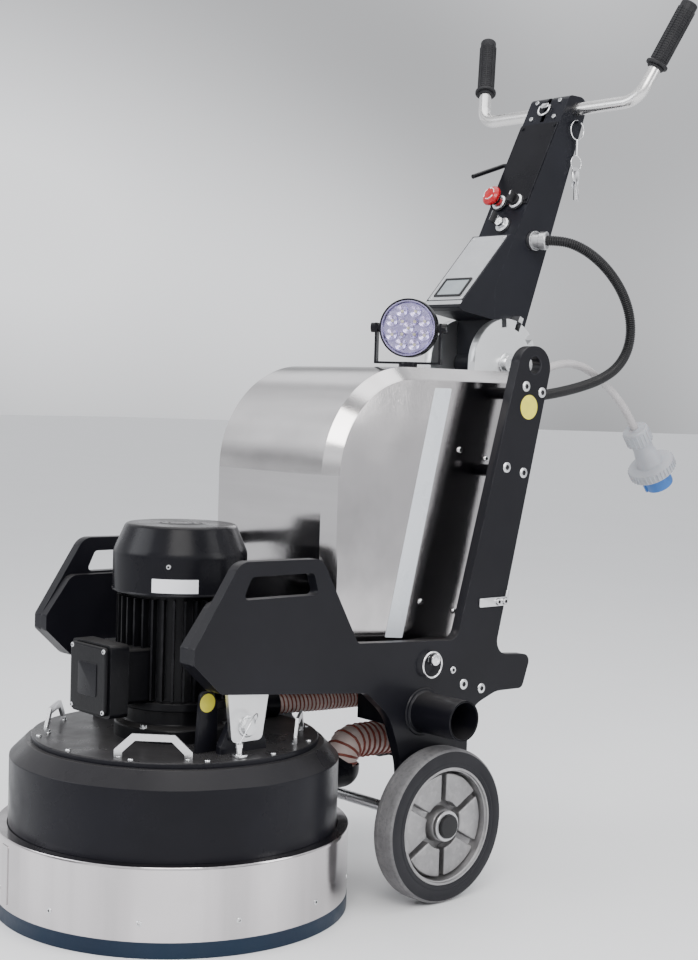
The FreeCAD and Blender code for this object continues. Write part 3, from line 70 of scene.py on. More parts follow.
def pt(x, y, z):
    """A machine point in the frame, in metres."""
    return Vector((AXLE.x + x / 1000, AXLE.y + y / 1000, z / 1000))


def place(x, y, z, rotation=None):
    matrix = Matrix.Translation(pt(x, y, z))
    return matrix @ rotation.to_4x4() if rotation else matrix


def rot(axis, degrees):
    return Matrix.Rotation(math.radians(degrees), 4, axis)


def frame_z(direction, x_hint=(0, 0, 1)):
    """A rotation whose local Z is the given direction."""
    z = Vector(direction).normalized()
    hint = Vector(x_hint)
    if abs(z.dot(hint)) > 0.95:
        hint = Vector((0, 1, 0))
    x = hint.cross(z).normalized()
    y = z.cross(x)
    return Matrix((x, y, z)).transposed().to_4x4()


TO_LEFT = frame_z((1, 0, 0))


# ---------------------------------------------------------------- camera

camera_data = bpy.data.cameras.new("camera")
camera = bpy.data.objects.new("camera", camera_data)
bpy.context.scene.collection.objects.link(camera)
AZIMUTH, PITCH, ROLL = math.radians(48.63), math.radians(2.96), math.radians(1.74)
forward = Vector(
    (-math.sin(AZIMUTH) * math.cos(PITCH), math.cos(AZIMUTH) * math.cos(PITCH), -math.sin(PITCH))
)
right = Vector((math.cos(AZIMUTH), math.sin(AZIMUTH), 0))
up = right.cross(forward)
cam_x = right * math.cos(ROLL) + up * math.sin(ROLL)
cam_y = -right * math.sin(ROLL) + up * math.cos(ROLL)
basis = Matrix((cam_x, cam_y, -forward)).transposed().to_4x4()
camera.matrix_world = Matrix.Translation(pt(2222.2, -1950.3, 859.7)) @ basis
camera_data.lens = 61.07
camera_data.sensor_width = 36.0
camera_data.sensor_fit = "AUTO"
camera_data.clip_end = 50.0
bpy.context.scene.camera = camera


# ---------------------------------------------------------------- materials

MATERIALS = {}


class Surface:
    """A Principled material built up from procedural layers."""

    def __init__(self, name, color, metallic=0.0, rough=0.5):
        self.material = bpy.data.materials.new(name)
        self.material.use_nodes = True
        self.nodes = self.material.node_tree.nodes
        self.links = self.material.node_tree.links
        self.shader = self.nodes["Principled BSDF"]
        self.shader.inputs["Base Color"].default_value = (*color, 1)
        self.shader.inputs["Metallic"].default_value = metallic
        self.shader.inputs["Roughness"].default_value = rough
        self.color = color
        coords = self.node("ShaderNodeTexCoord")
        self.mapping = self.node("ShaderNodeMapping", {"Vector": coords.outputs["Object"]})
        self.color_source = None
        self.normal_source = None
        self.material.diffuse_color = (*color, 1)
        MATERIALS[name] = self.material

    def node(self, kind, inputs=None, **values):
        """Adds a node. An input is given a value, or linked when it is given another node's output."""
        made = self.nodes.new(kind)
        for key, value in values.items():
            setattr(made, key, value)
        for socket, value in (inputs or {}).items():
            if isinstance(value, bpy.types.NodeSocket):
                self.links.new(value, made.inputs[socket])
            else:
                made.inputs[socket].default_value = value
        return made

    def noise(self, scale, detail=4.0, roughness=0.55, stretch=None):
        vector = self.mapping.outputs["Vector"]
        if stretch:
            vector = self.node("ShaderNodeMapping", {"Scale": stretch, "Vector": vector}).outputs["Vector"]
        values = {"Scale": scale, "Detail": detail, "Roughness": roughness, "Vector": vector}
        return self.node("ShaderNodeTexNoise", values).outputs["Fac"]

    def ramp(self, source, low, high, to_low=0.0, to_high=1.0):
        values = {"Value": source, "From Min": low, "From Max": high, "To Min": to_low, "To Max": to_high}
        return self.node("ShaderNodeMapRange", values).outputs["Result"]

    def times(self, a, b):
        return self.node("ShaderNodeMath", {0: a, 1: b}, operation="MULTIPLY").outputs[0]

    def tint(self, factor, color):
        """Mixes another colour over what is there."""
        made = self.node("ShaderNodeMix", {"Factor": factor}, data_type="RGBA")
        if self.color_source:
            self.links.new(self.color_source, made.inputs["A"])
        else:
            made.inputs["A"].default_value = (*self.color, 1)
        made.inputs["B"].default_value = (*color, 1)
        self.color_source = made.outputs["Result"]
        self.links.new(self.color_source, self.shader.inputs["Base Color"])
        return self

    def mottle(self, color, scale, amount=0.5, low=0.35, high=0.65, stretch=None):
        field = self.ramp(self.noise(scale, stretch=stretch), low, high, 0.0, amount)
        return self.tint(field, color)

    def roughen(self, low, high, scale, stretch=None):
        field = self.ramp(self.noise(scale, detail=6, stretch=stretch), 0.3, 0.7, low, high)
        self.links.new(field, self.shader.inputs["Roughness"])
        return self

    def bump(self, scale, distance, strength=0.5, detail=3.0, stretch=None):
        field = self.noise(scale, detail, stretch=stretch)
        made = self.node("ShaderNodeBump", {"Strength": strength, "Distance": distance, "Height": field})
        if self.normal_source:
            self.links.new(self.normal_source, made.inputs["Normal"])
        self.normal_source = made.outputs["Normal"]
        self.links.new(self.normal_source, self.shader.inputs["Normal"])
        return self

    def dust(self, color, amount, scale=9.0):
        """A dusting on faces that look up."""
        geometry = self.node("ShaderNodeNewGeometry")
        split = self.node("ShaderNodeSeparateXYZ", {"Vector": geometry.outputs["Normal"]})
        upward = self.ramp(split.outputs["Z"], 0.45, 0.95)
        patch = self.ramp(self.noise(scale, detail=8), 0.35, 0.7, 0.25, amount)
        return self.tint(self.times(upward, patch), color)

    def edge_wear_and_highlight(self, color, radius, amount):
        """Lighter paint along edges: partly rubbed wear, partly a painted highlight on the edges."""
        soft = self.node("ShaderNodeBevel", {"Radius": radius}, samples=4)
        geometry = self.node("ShaderNodeNewGeometry")
        normals = {0: soft.outputs["Normal"], 1: geometry.outputs["Normal"]}
        dot = self.node("ShaderNodeVectorMath", normals, operation="DOT_PRODUCT")
        edge = self.ramp(dot.outputs["Value"], 0.985, 0.86, 0.0, 1.0)
        broken = self.ramp(self.noise(60, detail=8), 0.42, 0.62, 0.0, amount)
        return self.tint(self.times(edge, broken), color)


def powder(name, color, rough=(0.34, 0.5), dust=0.05):
    made = Surface(name, color)
    made.mottle([c * 1.5 + 0.001 for c in color], 6.0, 0.6)
    # lighter edges: wear, and a painted highlight along the edges
    made.edge_wear_and_highlight((0.10, 0.10, 0.11), 0.0012, 0.4)
    made.dust((0.12, 0.115, 0.11), dust)
    made.roughen(*rough, 14.0)
    made.bump(420.0, 0.00025, 0.35)
    made.shader.inputs["Specular IOR Level"].default_value = 0.13
    made.shader.inputs["Coat Weight"].default_value = 0.03
    made.shader.inputs["Coat Roughness"].default_value = 0.18
    return made


BLACK = (0.0045, 0.0045, 0.0068)
frame_paint = powder("frame_black", BLACK)
frame_paint.shader.inputs["Coat Weight"].default_value = 0.12
powder("drum_black", (0.005, 0.005, 0.0075), rough=(0.22, 0.42), dust=0.16)
powder("column_black", (0.007, 0.0075, 0.011), rough=(0.36, 0.5), dust=0.06)
cast = powder("motor_black", (0.0035, 0.0035, 0.0045), rough=(0.28, 0.46), dust=0.08)
cast.bump(160.0, 0.0006, 0.4)
powder("cowl_black", (0.005, 0.005, 0.0068), rough=(0.2, 0.36), dust=0.1)


def steel(name, color, rough, grain, grain_depth, smudge=0.35, ripple=0.16, bands=None):
    """Polished sheet: fine grain along one way, with cloudy smudges in the polish."""
    made = Surface(name, color, metallic=1.0)
    if bands:
        made.mottle([c * 0.6 for c in color], 1.0, 0.55, 0.45, 0.62, stretch=bands)
    made.mottle([c * 0.82 for c in color], 3.2, smudge, 0.4, 0.72)
    made.mottle([c * 0.9 for c in color], 26.0, 0.35, 0.5, 0.7)
    cloud = made.ramp(made.noise(7.0, detail=8), 0.3, 0.75, rough[0], rough[1])
    made.links.new(cloud, made.shader.inputs["Roughness"])
    made.bump(90.0, grain_depth, 0.5, detail=5, stretch=grain)
    made.bump(3.4, 0.012, ripple, detail=1.2)
    made.bump(9.0, 0.003, ripple * 0.6, detail=1.0)
    return made


steel("hood_steel", (0.72, 0.70, 0.70), (0.05, 0.16), (14, 14, 0.6), 0.0001, 0.5, 0.3, (0.7, 0.7, 8))
steel("side_steel", (0.66, 0.635, 0.635), (0.05, 0.15), (14, 14, 0.6), 0.0001, 0.6, 0.4, bands=(6, 6, 5))
steel("band_steel", (0.66, 0.63, 0.64), (0.07, 0.2), (0.8, 0.8, 16), 0.00012, 0.5, 0.3, bands=(9, 9, 0.4))
steel("plate_steel", (0.72, 0.72, 0.73), (0.26, 0.42), (1, 1, 12), 0.0001)
steel("tube_steel", (0.76, 0.75, 0.74), (0.2, 0.34), (1, 12, 12), 0.0001)
steel("quadrant_alu", (0.66, 0.67, 0.68), (0.3, 0.45), (1, 12, 1), 0.0002)
steel("zinc", (0.72, 0.73, 0.74), (0.2, 0.36), (4, 4, 4), 0.0001)
steel("chrome", (0.83, 0.83, 0.84), (0.06, 0.14), (3, 3, 3), 0.00005, 0.15)
steel("machined", (0.5, 0.5, 0.51), (0.28, 0.45), (6, 6, 1), 0.0002)

def layered(name, color, mottle=(), roughen=None, bump=(), dust=None, inputs=(), metallic=0.0, rough=0.5):
    """A surface from rows of Surface arguments, with shader inputs set by name."""
    made = Surface(name, color, metallic=metallic, rough=rough)
    for row in mottle:
        made.mottle(*row)
    if dust:
        made.dust(*dust)
    if roughen:
        made.roughen(*roughen)
    for row in bump:
        made.bump(*row)
    for socket, value in inputs:
        made.shader.inputs[socket].default_value = value
    return made


# painted shade: a near-black metal for the inside of screw sockets, where shade falls
layered(
    "socket_painted_shade", (0.06, 0.06, 0.065),
    mottle=[((0.02, 0.02, 0.022), 300.0, 0.6)], metallic=0.8, rough=0.5,
)
layered(
    "cast_aluminium", (0.36, 0.355, 0.36),
    mottle=[((0.22, 0.217, 0.22), 18.0, 0.6), ((0.46, 0.45, 0.45), 70.0, 0.4, 0.5, 0.7)],
    roughen=(0.42, 0.62, 60.0), bump=[(260.0, 0.0005, 0.5), (40.0, 0.001, 0.25)], metallic=1.0,
)
layered(
    "tread_rubber", (0.12, 0.118, 0.122),
    mottle=[((0.17, 0.167, 0.172), 20.0, 0.7, 0.4, 0.6), ((0.075, 0.075, 0.078), 150.0, 0.4, 0.5, 0.62)],
    roughen=(0.62, 0.85, 40.0), bump=[(300.0, 0.0005, 0.6)], inputs=[("Specular IOR Level", 0.3)],
)
layered(
    "tyre_wall", (0.008, 0.008, 0.011),
    mottle=[((0.02, 0.02, 0.024), 9.0, 0.5)], roughen=(0.48, 0.62, 20.0), bump=[(240.0, 0.0003, 0.4)],
    inputs=[("Specular IOR Level", 0.25)],
)
layered(
    "black_rubber", (0.007, 0.007, 0.009),
    mottle=[((0.016, 0.016, 0.018), 24.0, 0.6)], roughen=(0.5, 0.68, 50.0), bump=[(500.0, 0.0002, 0.4)],
    inputs=[("Specular IOR Level", 0.3)],
)
layered(
    "navy_rubber", (0.003, 0.011, 0.028),
    mottle=[((0.006, 0.02, 0.042), 5.0, 0.6)], dust=((0.05, 0.06, 0.08), 0.2), roughen=(0.38, 0.6, 20.0),
    bump=[(220.0, 0.0005, 0.5)], inputs=[("Specular IOR Level", 0.25)],
)
layered(
    "black_plastic", (0.006, 0.006, 0.007),
    mottle=[((0.013, 0.013, 0.015), 30.0, 0.5)], roughen=(0.32, 0.46, 60.0),
    bump=[(700.0, 0.00012, 0.4)], inputs=[("Specular IOR Level", 0.3)], rough=0.4,
)
layered(
    "plug_grey", (0.37, 0.38, 0.41),
    mottle=[((0.30, 0.31, 0.34), 18.0, 0.5)], roughen=(0.36, 0.5, 70.0), bump=[(600.0, 0.00015, 0.3)],
    inputs=[("Subsurface Weight", 0.05)], rough=0.42,
)
layered(
    "plug_blue", (0.02, 0.13, 0.42),
    mottle=[((0.015, 0.1, 0.33), 22.0, 0.6)], roughen=(0.3, 0.44, 60.0), bump=[(600.0, 0.00012, 0.3)],
    rough=0.35,
)
layered(
    "cord_jacket", (0.43, 0.415, 0.42),
    mottle=[((0.34, 0.325, 0.33), 35.0, 0.5)], roughen=(0.4, 0.55, 80.0), bump=[(350.0, 0.0002, 0.35)],
    rough=0.45,
)
layered(
    "estop_red", (0.42, 0.004, 0.01),
    mottle=[((0.33, 0.003, 0.008), 40.0, 0.6)], roughen=(0.2, 0.34, 60.0), bump=[(500.0, 0.0001, 0.3)],
    rough=0.28,
)
layered(
    "white_mark", (0.80, 0.80, 0.81),
    mottle=[((0.66, 0.66, 0.68), 60.0, 0.5)], roughen=(0.42, 0.6, 80.0), rough=0.5,
)
layered(
    "label_white", (0.82, 0.83, 0.86),
    mottle=[((0.74, 0.75, 0.79), 24.0, 0.5)], roughen=(0.28, 0.42, 50.0), rough=0.35,
)
layered(
    "label_strip", (0.63, 0.66, 0.70),
    mottle=[((0.54, 0.58, 0.63), 8.0, 0.6)], roughen=(0.22, 0.38, 30.0), rough=0.3,
)
layered(
    "sticker_yellow", (0.72, 0.66, 0.06),
    mottle=[((0.62, 0.56, 0.05), 60.0, 0.6)], roughen=(0.36, 0.52, 80.0), rough=0.42,
)
layered(
    "screen_grey", (0.30, 0.33, 0.35),
    mottle=[((0.23, 0.26, 0.28), 30.0, 0.5)], roughen=(0.12, 0.2, 40.0), rough=0.18,
)
layered(
    "bezel_silver", (0.62, 0.63, 0.65),
    mottle=[((0.5, 0.51, 0.53), 25.0, 0.5)], roughen=(0.3, 0.44, 60.0), metallic=0.7, rough=0.35,
)
layered(
    "lamp_reflector", (0.62, 0.58, 0.78),
    mottle=[((0.45, 0.40, 0.66), 90.0, 0.7)], roughen=(0.12, 0.3, 200.0), bump=[(900.0, 0.0004, 0.5)],
    metallic=0.9, rough=0.2,
)
layered("led_yellow", (0.85, 0.83, 0.62), mottle=[((0.7, 0.66, 0.35), 200.0, 0.6)], rough=0.3)
layered(
    "lamp_glass", (0.93, 0.92, 0.98),
    roughen=(0.02, 0.06, 40.0), inputs=[("Transmission Weight", 1.0), ("IOR", 1.3)], rough=0.04,
)
layered(
    "hose_clear", (0.86, 0.72, 0.68),
    mottle=[((0.76, 0.58, 0.53), 30.0, 0.5)], roughen=(0.14, 0.3, 40.0),
    inputs=[("Transmission Weight", 0.22), ("IOR", 1.25)], rough=0.2,
)
layered(
    "hose_helix", (0.22, 0.045, 0.03),
    mottle=[((0.32, 0.08, 0.05), 50.0, 0.6)], roughen=(0.28, 0.44, 60.0), rough=0.35,
)
layered(
    "belt", (0.02, 0.02, 0.02),
    mottle=[((0.04, 0.04, 0.04), 60.0, 0.5)], bump=[(200.0, 0.0005, 0.5)], rough=0.7,
)
layered(
    "electronics", (0.12, 0.13, 0.14),
    mottle=[((0.18, 0.19, 0.2), 20.0, 0.5)], bump=[(300.0, 0.0002, 0.4)], rough=0.5,
)


# ---------------------------------------------------------------- mesh helpers


def finish_mesh(mesh, smooth_angle=32.0):
    mesh.shade_smooth()
    mesh.set_sharp_from_angle(angle=math.radians(smooth_angle))


def add(name, mesh, material, body, matrix=None, bevel=0.0, angle=32.0):
    """Links a mesh as a piece that rides on a body. With a matrix, the mesh is in millimetres."""
    if matrix is not None:
        mesh.transform(matrix @ MILLIMETRES)
    obj = bpy.data.objects.new(name, mesh)
    bpy.context.scene.collection.objects.link(obj)
    if isinstance(material, str):
        material = MATERIALS[material]
    if not mesh.materials:
        mesh.materials.append(material)
    finish_mesh(mesh, angle)
    if bevel:
        soften(obj, bevel)
    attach(obj, body)
    return obj


def soften(obj, width, segments=2, angle=30.0):
    modifier = obj.modifiers.new("edges", "BEVEL")
    modifier.width = width / 1000
    modifier.segments = segments
    modifier.limit_method = "ANGLE"
    modifier.angle_limit = math.radians(angle)
    modifier.harden_normals = True
    modifier.use_clamp_overlap = True
    return obj


def mesh_from(verts, faces, name="piece"):
    mesh = bpy.data.meshes.new(name)
    mesh.from_pydata([tuple(v) for v in verts], [], faces)
    mesh.update()
    return mesh


def lathe(profile, segments=64):
    """A profile of (radius, height) turned about Z. A third number gives that ring so many flat sides."""
    verts, rings = [], []
    for radius, height, *corners in profile:
        if radius < 1e-6:
            rings.append([len(verts)])
            verts.append((0, 0, height))
            continue
        ring = []
        for i in range(segments):
            a = 2 * math.pi * i / segments
            reach = radius
            if corners:
                step = 2 * math.pi / corners[0]
                reach = radius * math.cos(step / 2) / math.cos(a % step - step / 2)
            ring.append(len(verts))
            verts.append((reach * math.cos(a), reach * math.sin(a), height))
        rings.append(ring)
    faces = []
    for lower, upper in zip(rings, rings[1:]):
        for i in range(segments):
            j = (i + 1) % segments
            if len(lower) == 1 and len(upper) == 1:
                break
            if len(lower) == 1:
                faces.append((lower[0], upper[j], upper[i]))
            elif len(upper) == 1:
                faces.append((lower[i], lower[j], upper[0]))
            else:
                faces.append((lower[i], lower[j], upper[j], upper[i]))
    return tidy(mesh_from(verts, faces))


def tidy(mesh):
    work = bmesh.new()
    work.from_mesh(mesh)
    bmesh.ops.remove_doubles(work, verts=work.verts, dist=1e-5)
    bmesh.ops.recalc_face_normals(work, faces=work.faces)
    work.to_mesh(mesh)
    work.free()
    return mesh


def rounded(corners, steps=6):
    """Outline points from (u, v, radius) corners."""
    points = []
    count = len(corners)
    for i, corner in enumerate(corners):
        here = Vector(corner[:2])
        radius = corner[2] if len(corner) > 2 else 0
        if radius <= 0:
            points.append(here)
            continue
        before = (Vector(corners[i - 1][:2]) - here).normalized()
        after = (Vector(corners[(i + 1) % count][:2]) - here).normalized()
        half = before.angle(after) / 2
        start = here + before * (radius / math.tan(half))
        end = here + after * (radius / math.tan(half))
        centre = here + (before + after).normalized() * (radius / math.sin(half))
        a, b = start - centre, end - centre
        sweep = a.angle_signed(b)
        for k in range(steps + 1):
            turn = -sweep * k / steps
            points.append(centre + Vector((
                a.x * math.cos(turn) - a.y * math.sin(turn),
                a.x * math.sin(turn) + a.y * math.cos(turn),
            )))
    return points


def rectangle(left, right, low, high, radius, steps):
    """The outline of a rectangle with rounded corners."""
    return rounded(
        [(left, low, radius), (right, low, radius), (right, high, radius), (left, high, radius)], steps,
    )


def slab(outline, low, high):
    """A prism of a 2-D outline between two heights along local Z."""
    count = len(outline)
    verts = [(p[0], p[1], low) for p in outline] + [(p[0], p[1], high) for p in outline]
    faces = [tuple(range(count))[::-1], tuple(range(count, 2 * count))]
    for i in range(count):
        j = (i + 1) % count
        faces.append((i, j, count + j, count + i))
    return tidy(mesh_from(verts, faces))


def joined(meshes):
    work = bmesh.new()
    for mesh in meshes:
        work.from_mesh(mesh)
    made = bpy.data.meshes.new("joined")
    work.to_mesh(made)
    work.free()
    return made


def moved(mesh, matrix):
    copy = mesh.copy()
    copy.transform(matrix)
    return copy


def shift(x, y, z):
    return Matrix.Translation((x, y, z))


def sweep(points, radius, sides=12, closed=False, radii=None):
    """A tube along points with parallel-transported rings."""
    points = [Vector(p) for p in points]
    count = len(points)
    tangents = []
    for i in range(count):
        a = points[i - 1] if (i > 0 or closed) else points[i]
        b = points[(i + 1) % count] if (i < count - 1 or closed) else points[i]
        tangents.append((b - a).normalized())
    normal = tangents[0].orthogonal().normalized()
    verts, faces = [], []
    for i, point in enumerate(points):
        if i:
            turn = tangents[i - 1].rotation_difference(tangents[i])
            normal = (turn @ normal).normalized()
        side = tangents[i].cross(normal)
        size = radii[i] if radii else radius
        for k in range(sides):
            a = 2 * math.pi * k / sides
            verts.append(point + (normal * math.cos(a) + side * math.sin(a)) * size)
    rows = count if closed else count - 1
    for i in range(rows):
        for k in range(sides):
            a, b = i * sides + k, i * sides + (k + 1) % sides
            c, d = ((i + 1) % count) * sides + (k + 1) % sides, ((i + 1) % count) * sides + k
            faces.append((a, b, c, d))
    if not closed:
        faces.append(tuple(range(sides))[::-1])
        faces.append(tuple(range((count - 1) * sides, count * sides)))
    return tidy(mesh_from(verts, faces))


def nurbs_curve(name, points):
    """An order-3 NURBS curve object with the route's points as its control points."""
    curve = bpy.data.curves.new(name, "CURVE")
    curve.dimensions = "3D"
    spline = curve.splines.new("NURBS")
    spline.points.add(len(points) - 1)
    for target, point in zip(spline.points, points):
        target.co = (*point, 1)
    spline.order_u = 3
    spline.use_endpoint_u = True
    spline.resolution_u = 16
    obj = bpy.data.objects.new(name, curve)
    bpy.context.scene.collection.objects.link(obj)
    return obj


def read_path(points):
    """The points of a route's NURBS line, as Blender draws it."""
    obj = nurbs_curve("path", points)
    bpy.context.view_layer.update()
    depsgraph = bpy.context.evaluated_depsgraph_get()
    mesh = bpy.data.meshes.new_from_object(obj.evaluated_get(depsgraph))
    line = [v.co.copy() for v in mesh.vertices]
    bpy.data.objects.remove(obj)
    return line


def even(line, gap):
    """Points at even spacing along a polyline, ends kept."""
    lengths = [0.0]
    for a, b in zip(line, line[1:]):
        lengths.append(lengths[-1] + (b - a).length)
    count = max(2, round(lengths[-1] / gap))
    points, k = [], 0
    for i in range(count + 1):
        want = lengths[-1] * i / count
        while k < len(line) - 2 and lengths[k + 1] < want:
            k += 1
        span = lengths[k + 1] - lengths[k]
        t = 0 if span < 1e-9 else (want - lengths[k]) / span
        points.append(line[k].lerp(line[k + 1], t))
    return points


# ---------------------------------------------------------------- looks of the CAD nodes

# (material, bevel in millimetres): the nodes that wear them
CAD_LOOKS = {
    ("frame_black", 1.2): "side_plate_left side_plate_right inner_plates",
    ("frame_black", 0): "cross_members dust_manifold",
    ("hood_steel", 0): "hood_skin",
    ("side_steel", 0): "cabinet_panels",
    ("electronics", 0): "inverter",
    ("quadrant_alu", 0.8): "quadrant_plates",
    ("zinc", 0): "axle switch_bezels frame_fasteners",
    ("plate_steel", 0.8): "hanger_plates deck_handles",
    ("drum_black", 0): "drum_shell deck_plate hose_ports",
    ("motor_black", 0): "gearbox_housing motor_frame",
    ("cowl_black", 0): "motor_cowl column_cover lock_lever lamp_housing",
    ("motor_black", 1.0): "terminal_box",
    ("frame_black", 1.0): "pivot_lugs",
    ("machined", 0): (
        "fixed_pulley motor_rotor carrier disc_spindle_1 disc_spindle_2 disc_spindle_3 "
        "grinding_disc_1 grinding_disc_2 grinding_disc_3 conduit_gland"
    ),
    ("belt", 0): "disc_belts",
    ("band_steel", 0): "shroud_band",
    ("navy_rubber", 0): "shroud_skirt",
    ("column_black", 0.8): "column_shell",
    ("column_black", 1.0): "console_box",
    ("tube_steel", 0): "handlebar",
    ("black_rubber", 0): "handlebar_grips",
    ("estop_red", 0): "estop_button",
    ("black_plastic", 1.0): "selector_knob",
    ("zinc", 0.3): "switch_key",
    ("zinc", 0.6): "lock_bar",
    ("black_plastic", 0): "cabinet_glands conduit",
    ("lamp_glass", 0): "lamp_lens",
    ("cowl_black", 0.6): "lamp_bracket",
    ("chrome", 0): "ring_pin_left key_ring",
    ("tyre_wall", 0): "tyre_left tyre_right",
    ("cast_aluminium", 0): "rim_left rim_right",
    ("hose_clear", 0): "suction_hoses",
    ("cord_jacket", 0): "mains_cord",
    ("plug_grey", 0): "plug_body",
    ("plug_blue", 0): "plug_shroud",
}


def dress(node, material, bevel):
    obj = NODES[node]
    obj.data.materials.clear()
    obj.data.materials.append(MATERIALS[material])
    if bevel:
        weld = obj.modifiers.new("weld", "WELD")
        weld.merge_threshold = 0.00001
        soften(obj, bevel)


# ---------------------------------------------------------------- cords and hoses

MAINS_ROUTE = [
    (98.0, 323.7, 889.0),
    (99.0, 366.0, 898.0),
    (104.0, 412.0, 924.0),
    (110.0, 462.0, 937.0),
    (112.0, 515.0, 931.0),
    (112.0, 563.0, 908.0),
    (112.0, 608.0, 881.0),
    (112.0, 650.0, 847.0),
    (112.0, 678.0, 811.0),
]
CONDUIT_ROUTE = [
    (68.7, 426.9, 1172.0),
    (94.0, 438.7, 1172.0),
    (118.0, 461.0, 1167.0),
    (133.0, 499.0, 1150.0),
    (138.0, 549.0, 1120.0),
    (138.0, 596.0, 1078.0),
    (138.0, 623.0, 1027.0),
    (138.0, 621.0, 974.0),
    (138.0, 589.0, 932.0),
    (137.0, 537.0, 906.0),
    (134.0, 480.0, 890.0),
    (130.0, 422.0, 878.0),
    (127.0, 366.0, 870.0),
    (126.0, 323.2, 866.0),
]
HOSE_A_ROUTE = [(70.0, -56.0, 200.0), (70.0, -56.0, 244.0), (70.0, 16.0, 243.0), (70.0, 82.0, 242.0)]
HOSE_B_ROUTE = [
    (-17.0, -154.0, 309.0),
    (2.0, -80.0, 309.0),
    (5.7, 0.0, 307.5),
    (7.0, 88.0, 306.0),
    (7.0, 114.0, 234.0),
]


def route_points(route):
    return [pt(*point) for point in route]


PLUG_LENGTH_SCALE = 0.925     # brings the profile below to the plug's length


def make_plug():
    """The industrial plug on the end of the mains lead, along the lead's last run."""
    end = pt(*MAINS_ROUTE[-1])
    way = end - pt(*MAINS_ROUTE[-2])
    seat = Matrix.Translation(end) @ frame_z(way) @ Matrix.Diagonal((1, 1, PLUG_LENGTH_SCALE, 1))
    body = lathe([
        (8.2, 0), (11, 0), (12, 1.5), (15, 2), (24, 2), (26, 4), (27, 9), (27, 33), (25.5, 38), (22, 41),
        (21, 45), (21, 56), (22, 62), (24.5, 76), (28, 92), (29, 95), (44, 97), (47.5, 99), (48.2, 101),
        (48.2, 118), (46.5, 121), (40, 122), (38, 124), (34, 124), (34, 122.2), (0, 122.2),
    ], 72)
    add("plug_shell", body, "plug_grey", "chassis", seat, angle=24)
    ribs = []
    for k in range(20):
        rib = slab(rectangle(26.2, 28.1, -1.5, 1.5, 0.6, 2), 8, 36)
        ribs.append(moved(rib, rot("Z", 18 * k)))
    for k in range(36):
        rib = slab(rectangle(47.4, 50.0, -1.6, 1.6, 0.7, 2), 101, 118)
        ribs.append(moved(rib, rot("Z", 10 * k)))
    add("plug_ribs", joined(ribs), "plug_grey", "chassis", seat)
    seam = lathe([(28.6, 94.2), (30.2, 94.6), (30.6, 95.8), (29.4, 96.6), (28.6, 96.4), (28.6, 94.2)], 48)
    add("plug_seam", seam, "plug_grey", "chassis", seat)
    shroud = lathe([
        (29.6, 123.0), (29.6, 155), (29, 157.6), (27.4, 158), (26.4, 156.5), (26.4, 131), (24, 130.4),
        (0, 130.4),
    ], 64)
    add("plug_shroud_sleeve", shroud, "plug_blue", "chassis", seat)
    key = slab(rectangle(29.0, 32.5, -4, 4, 1, 2), 126, 157)
    add("plug_keyway", moved(key, rot("Z", -60)), "plug_blue", "chassis", seat)
    pins = []
    for k in range(3):
        pin = lathe([(0, 128), (3, 128), (3, 150), (2.2, 153), (0, 153.6)], 20)
        pins.append(moved(pin, rot("Z", 120 * k + 20) @ shift(15, 0, 0)))
    add("plug_pins", joined(pins), "zinc", "chassis", seat)


def make_mains():
    curve = nurbs_curve("mains_lead", route_points(MAINS_ROUTE))
    curve.data.bevel_depth = 0.008
    curve.data.bevel_resolution = 6
    curve.data.use_fill_caps = True
    curve.data.materials.append(MATERIALS["cord_jacket"])
    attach(curve, "chassis")
    make_plug()
    line = even(read_path(route_points(MAINS_ROUTE)), 0.002)
    sleeve = line[:21]
    radii = [0.0128 - 0.0042 * (i / 20) - (0.0011 if i % 4 == 3 and i > 3 else 0) for i in range(21)]
    relief = sweep(sleeve, 0.0, 28, radii=radii)
    add("mains_relief", relief, "black_plastic", "chassis")
    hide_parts("mains_cord")
    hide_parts("plug_body")
    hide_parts("plug_shroud")


def corrugated(line, pitch, outer, inner, sides):
    """A ribbed tube: three rings on each crest, two in each groove."""
    gap = pitch / 4
    points = even(line, gap)
    radii = []
    for i in range(len(points)):
        radii.append((outer, outer, (outer + inner) / 2, inner)[i % 4])
    return sweep(points, 0.0, sides, radii=radii)


def helix_on(line, radius, pitch, wire, sides=8):
    """A round bead wound along a line."""
    points = even(line, pitch / 14)
    tangents = [(b - a).normalized() for a, b in zip(points, points[1:])]
    tangents.append(tangents[-1])
    normal = tangents[0].orthogonal().normalized()
    wound = []
    for i, point in enumerate(points):
        if i:
            normal = (tangents[i - 1].rotation_difference(tangents[i]) @ normal).normalized()
        side = tangents[i].cross(normal)
        a = 2 * math.pi * i / 14
        wound.append(point + (normal * math.cos(a) + side * math.sin(a)) * radius)
    return sweep(wound, wire, sides)


def make_hoses():
    line = even(read_path(route_points(CONDUIT_ROUTE)), 0.002)
    conduit = add(
        "conduit_corrugated", corrugated(line, 0.0044, 0.010, 0.0086, 24), "black_plastic", "column",
        angle=60,
    )
    conduit.parent = None
    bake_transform(conduit)
    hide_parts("conduit")
    shells, beads = [], []
    sizes = ((HOSE_A_ROUTE, 0.0315, 0.0125, 0.0024), (HOSE_B_ROUTE, 0.019, 0.0078, 0.0017))
    for route, radius, pitch, wire in sizes:
        line = read_path(route_points(route))
        shells.append(corrugated(line, pitch, radius - wire * 0.8, radius - wire * 1.5, 40))
        beads.append(helix_on(line, radius - wire, pitch, wire))
    looks = (("hose_walls", shells, "hose_clear"), ("hose_helixes", beads, "hose_helix"))
    for name, meshes, material in looks:
        obj = add(name, joined(meshes), material, "head", angle=60)
        obj.parent = None
        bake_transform(obj)
    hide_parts("suction_hoses")


# ---------------------------------------------------------------- small parts


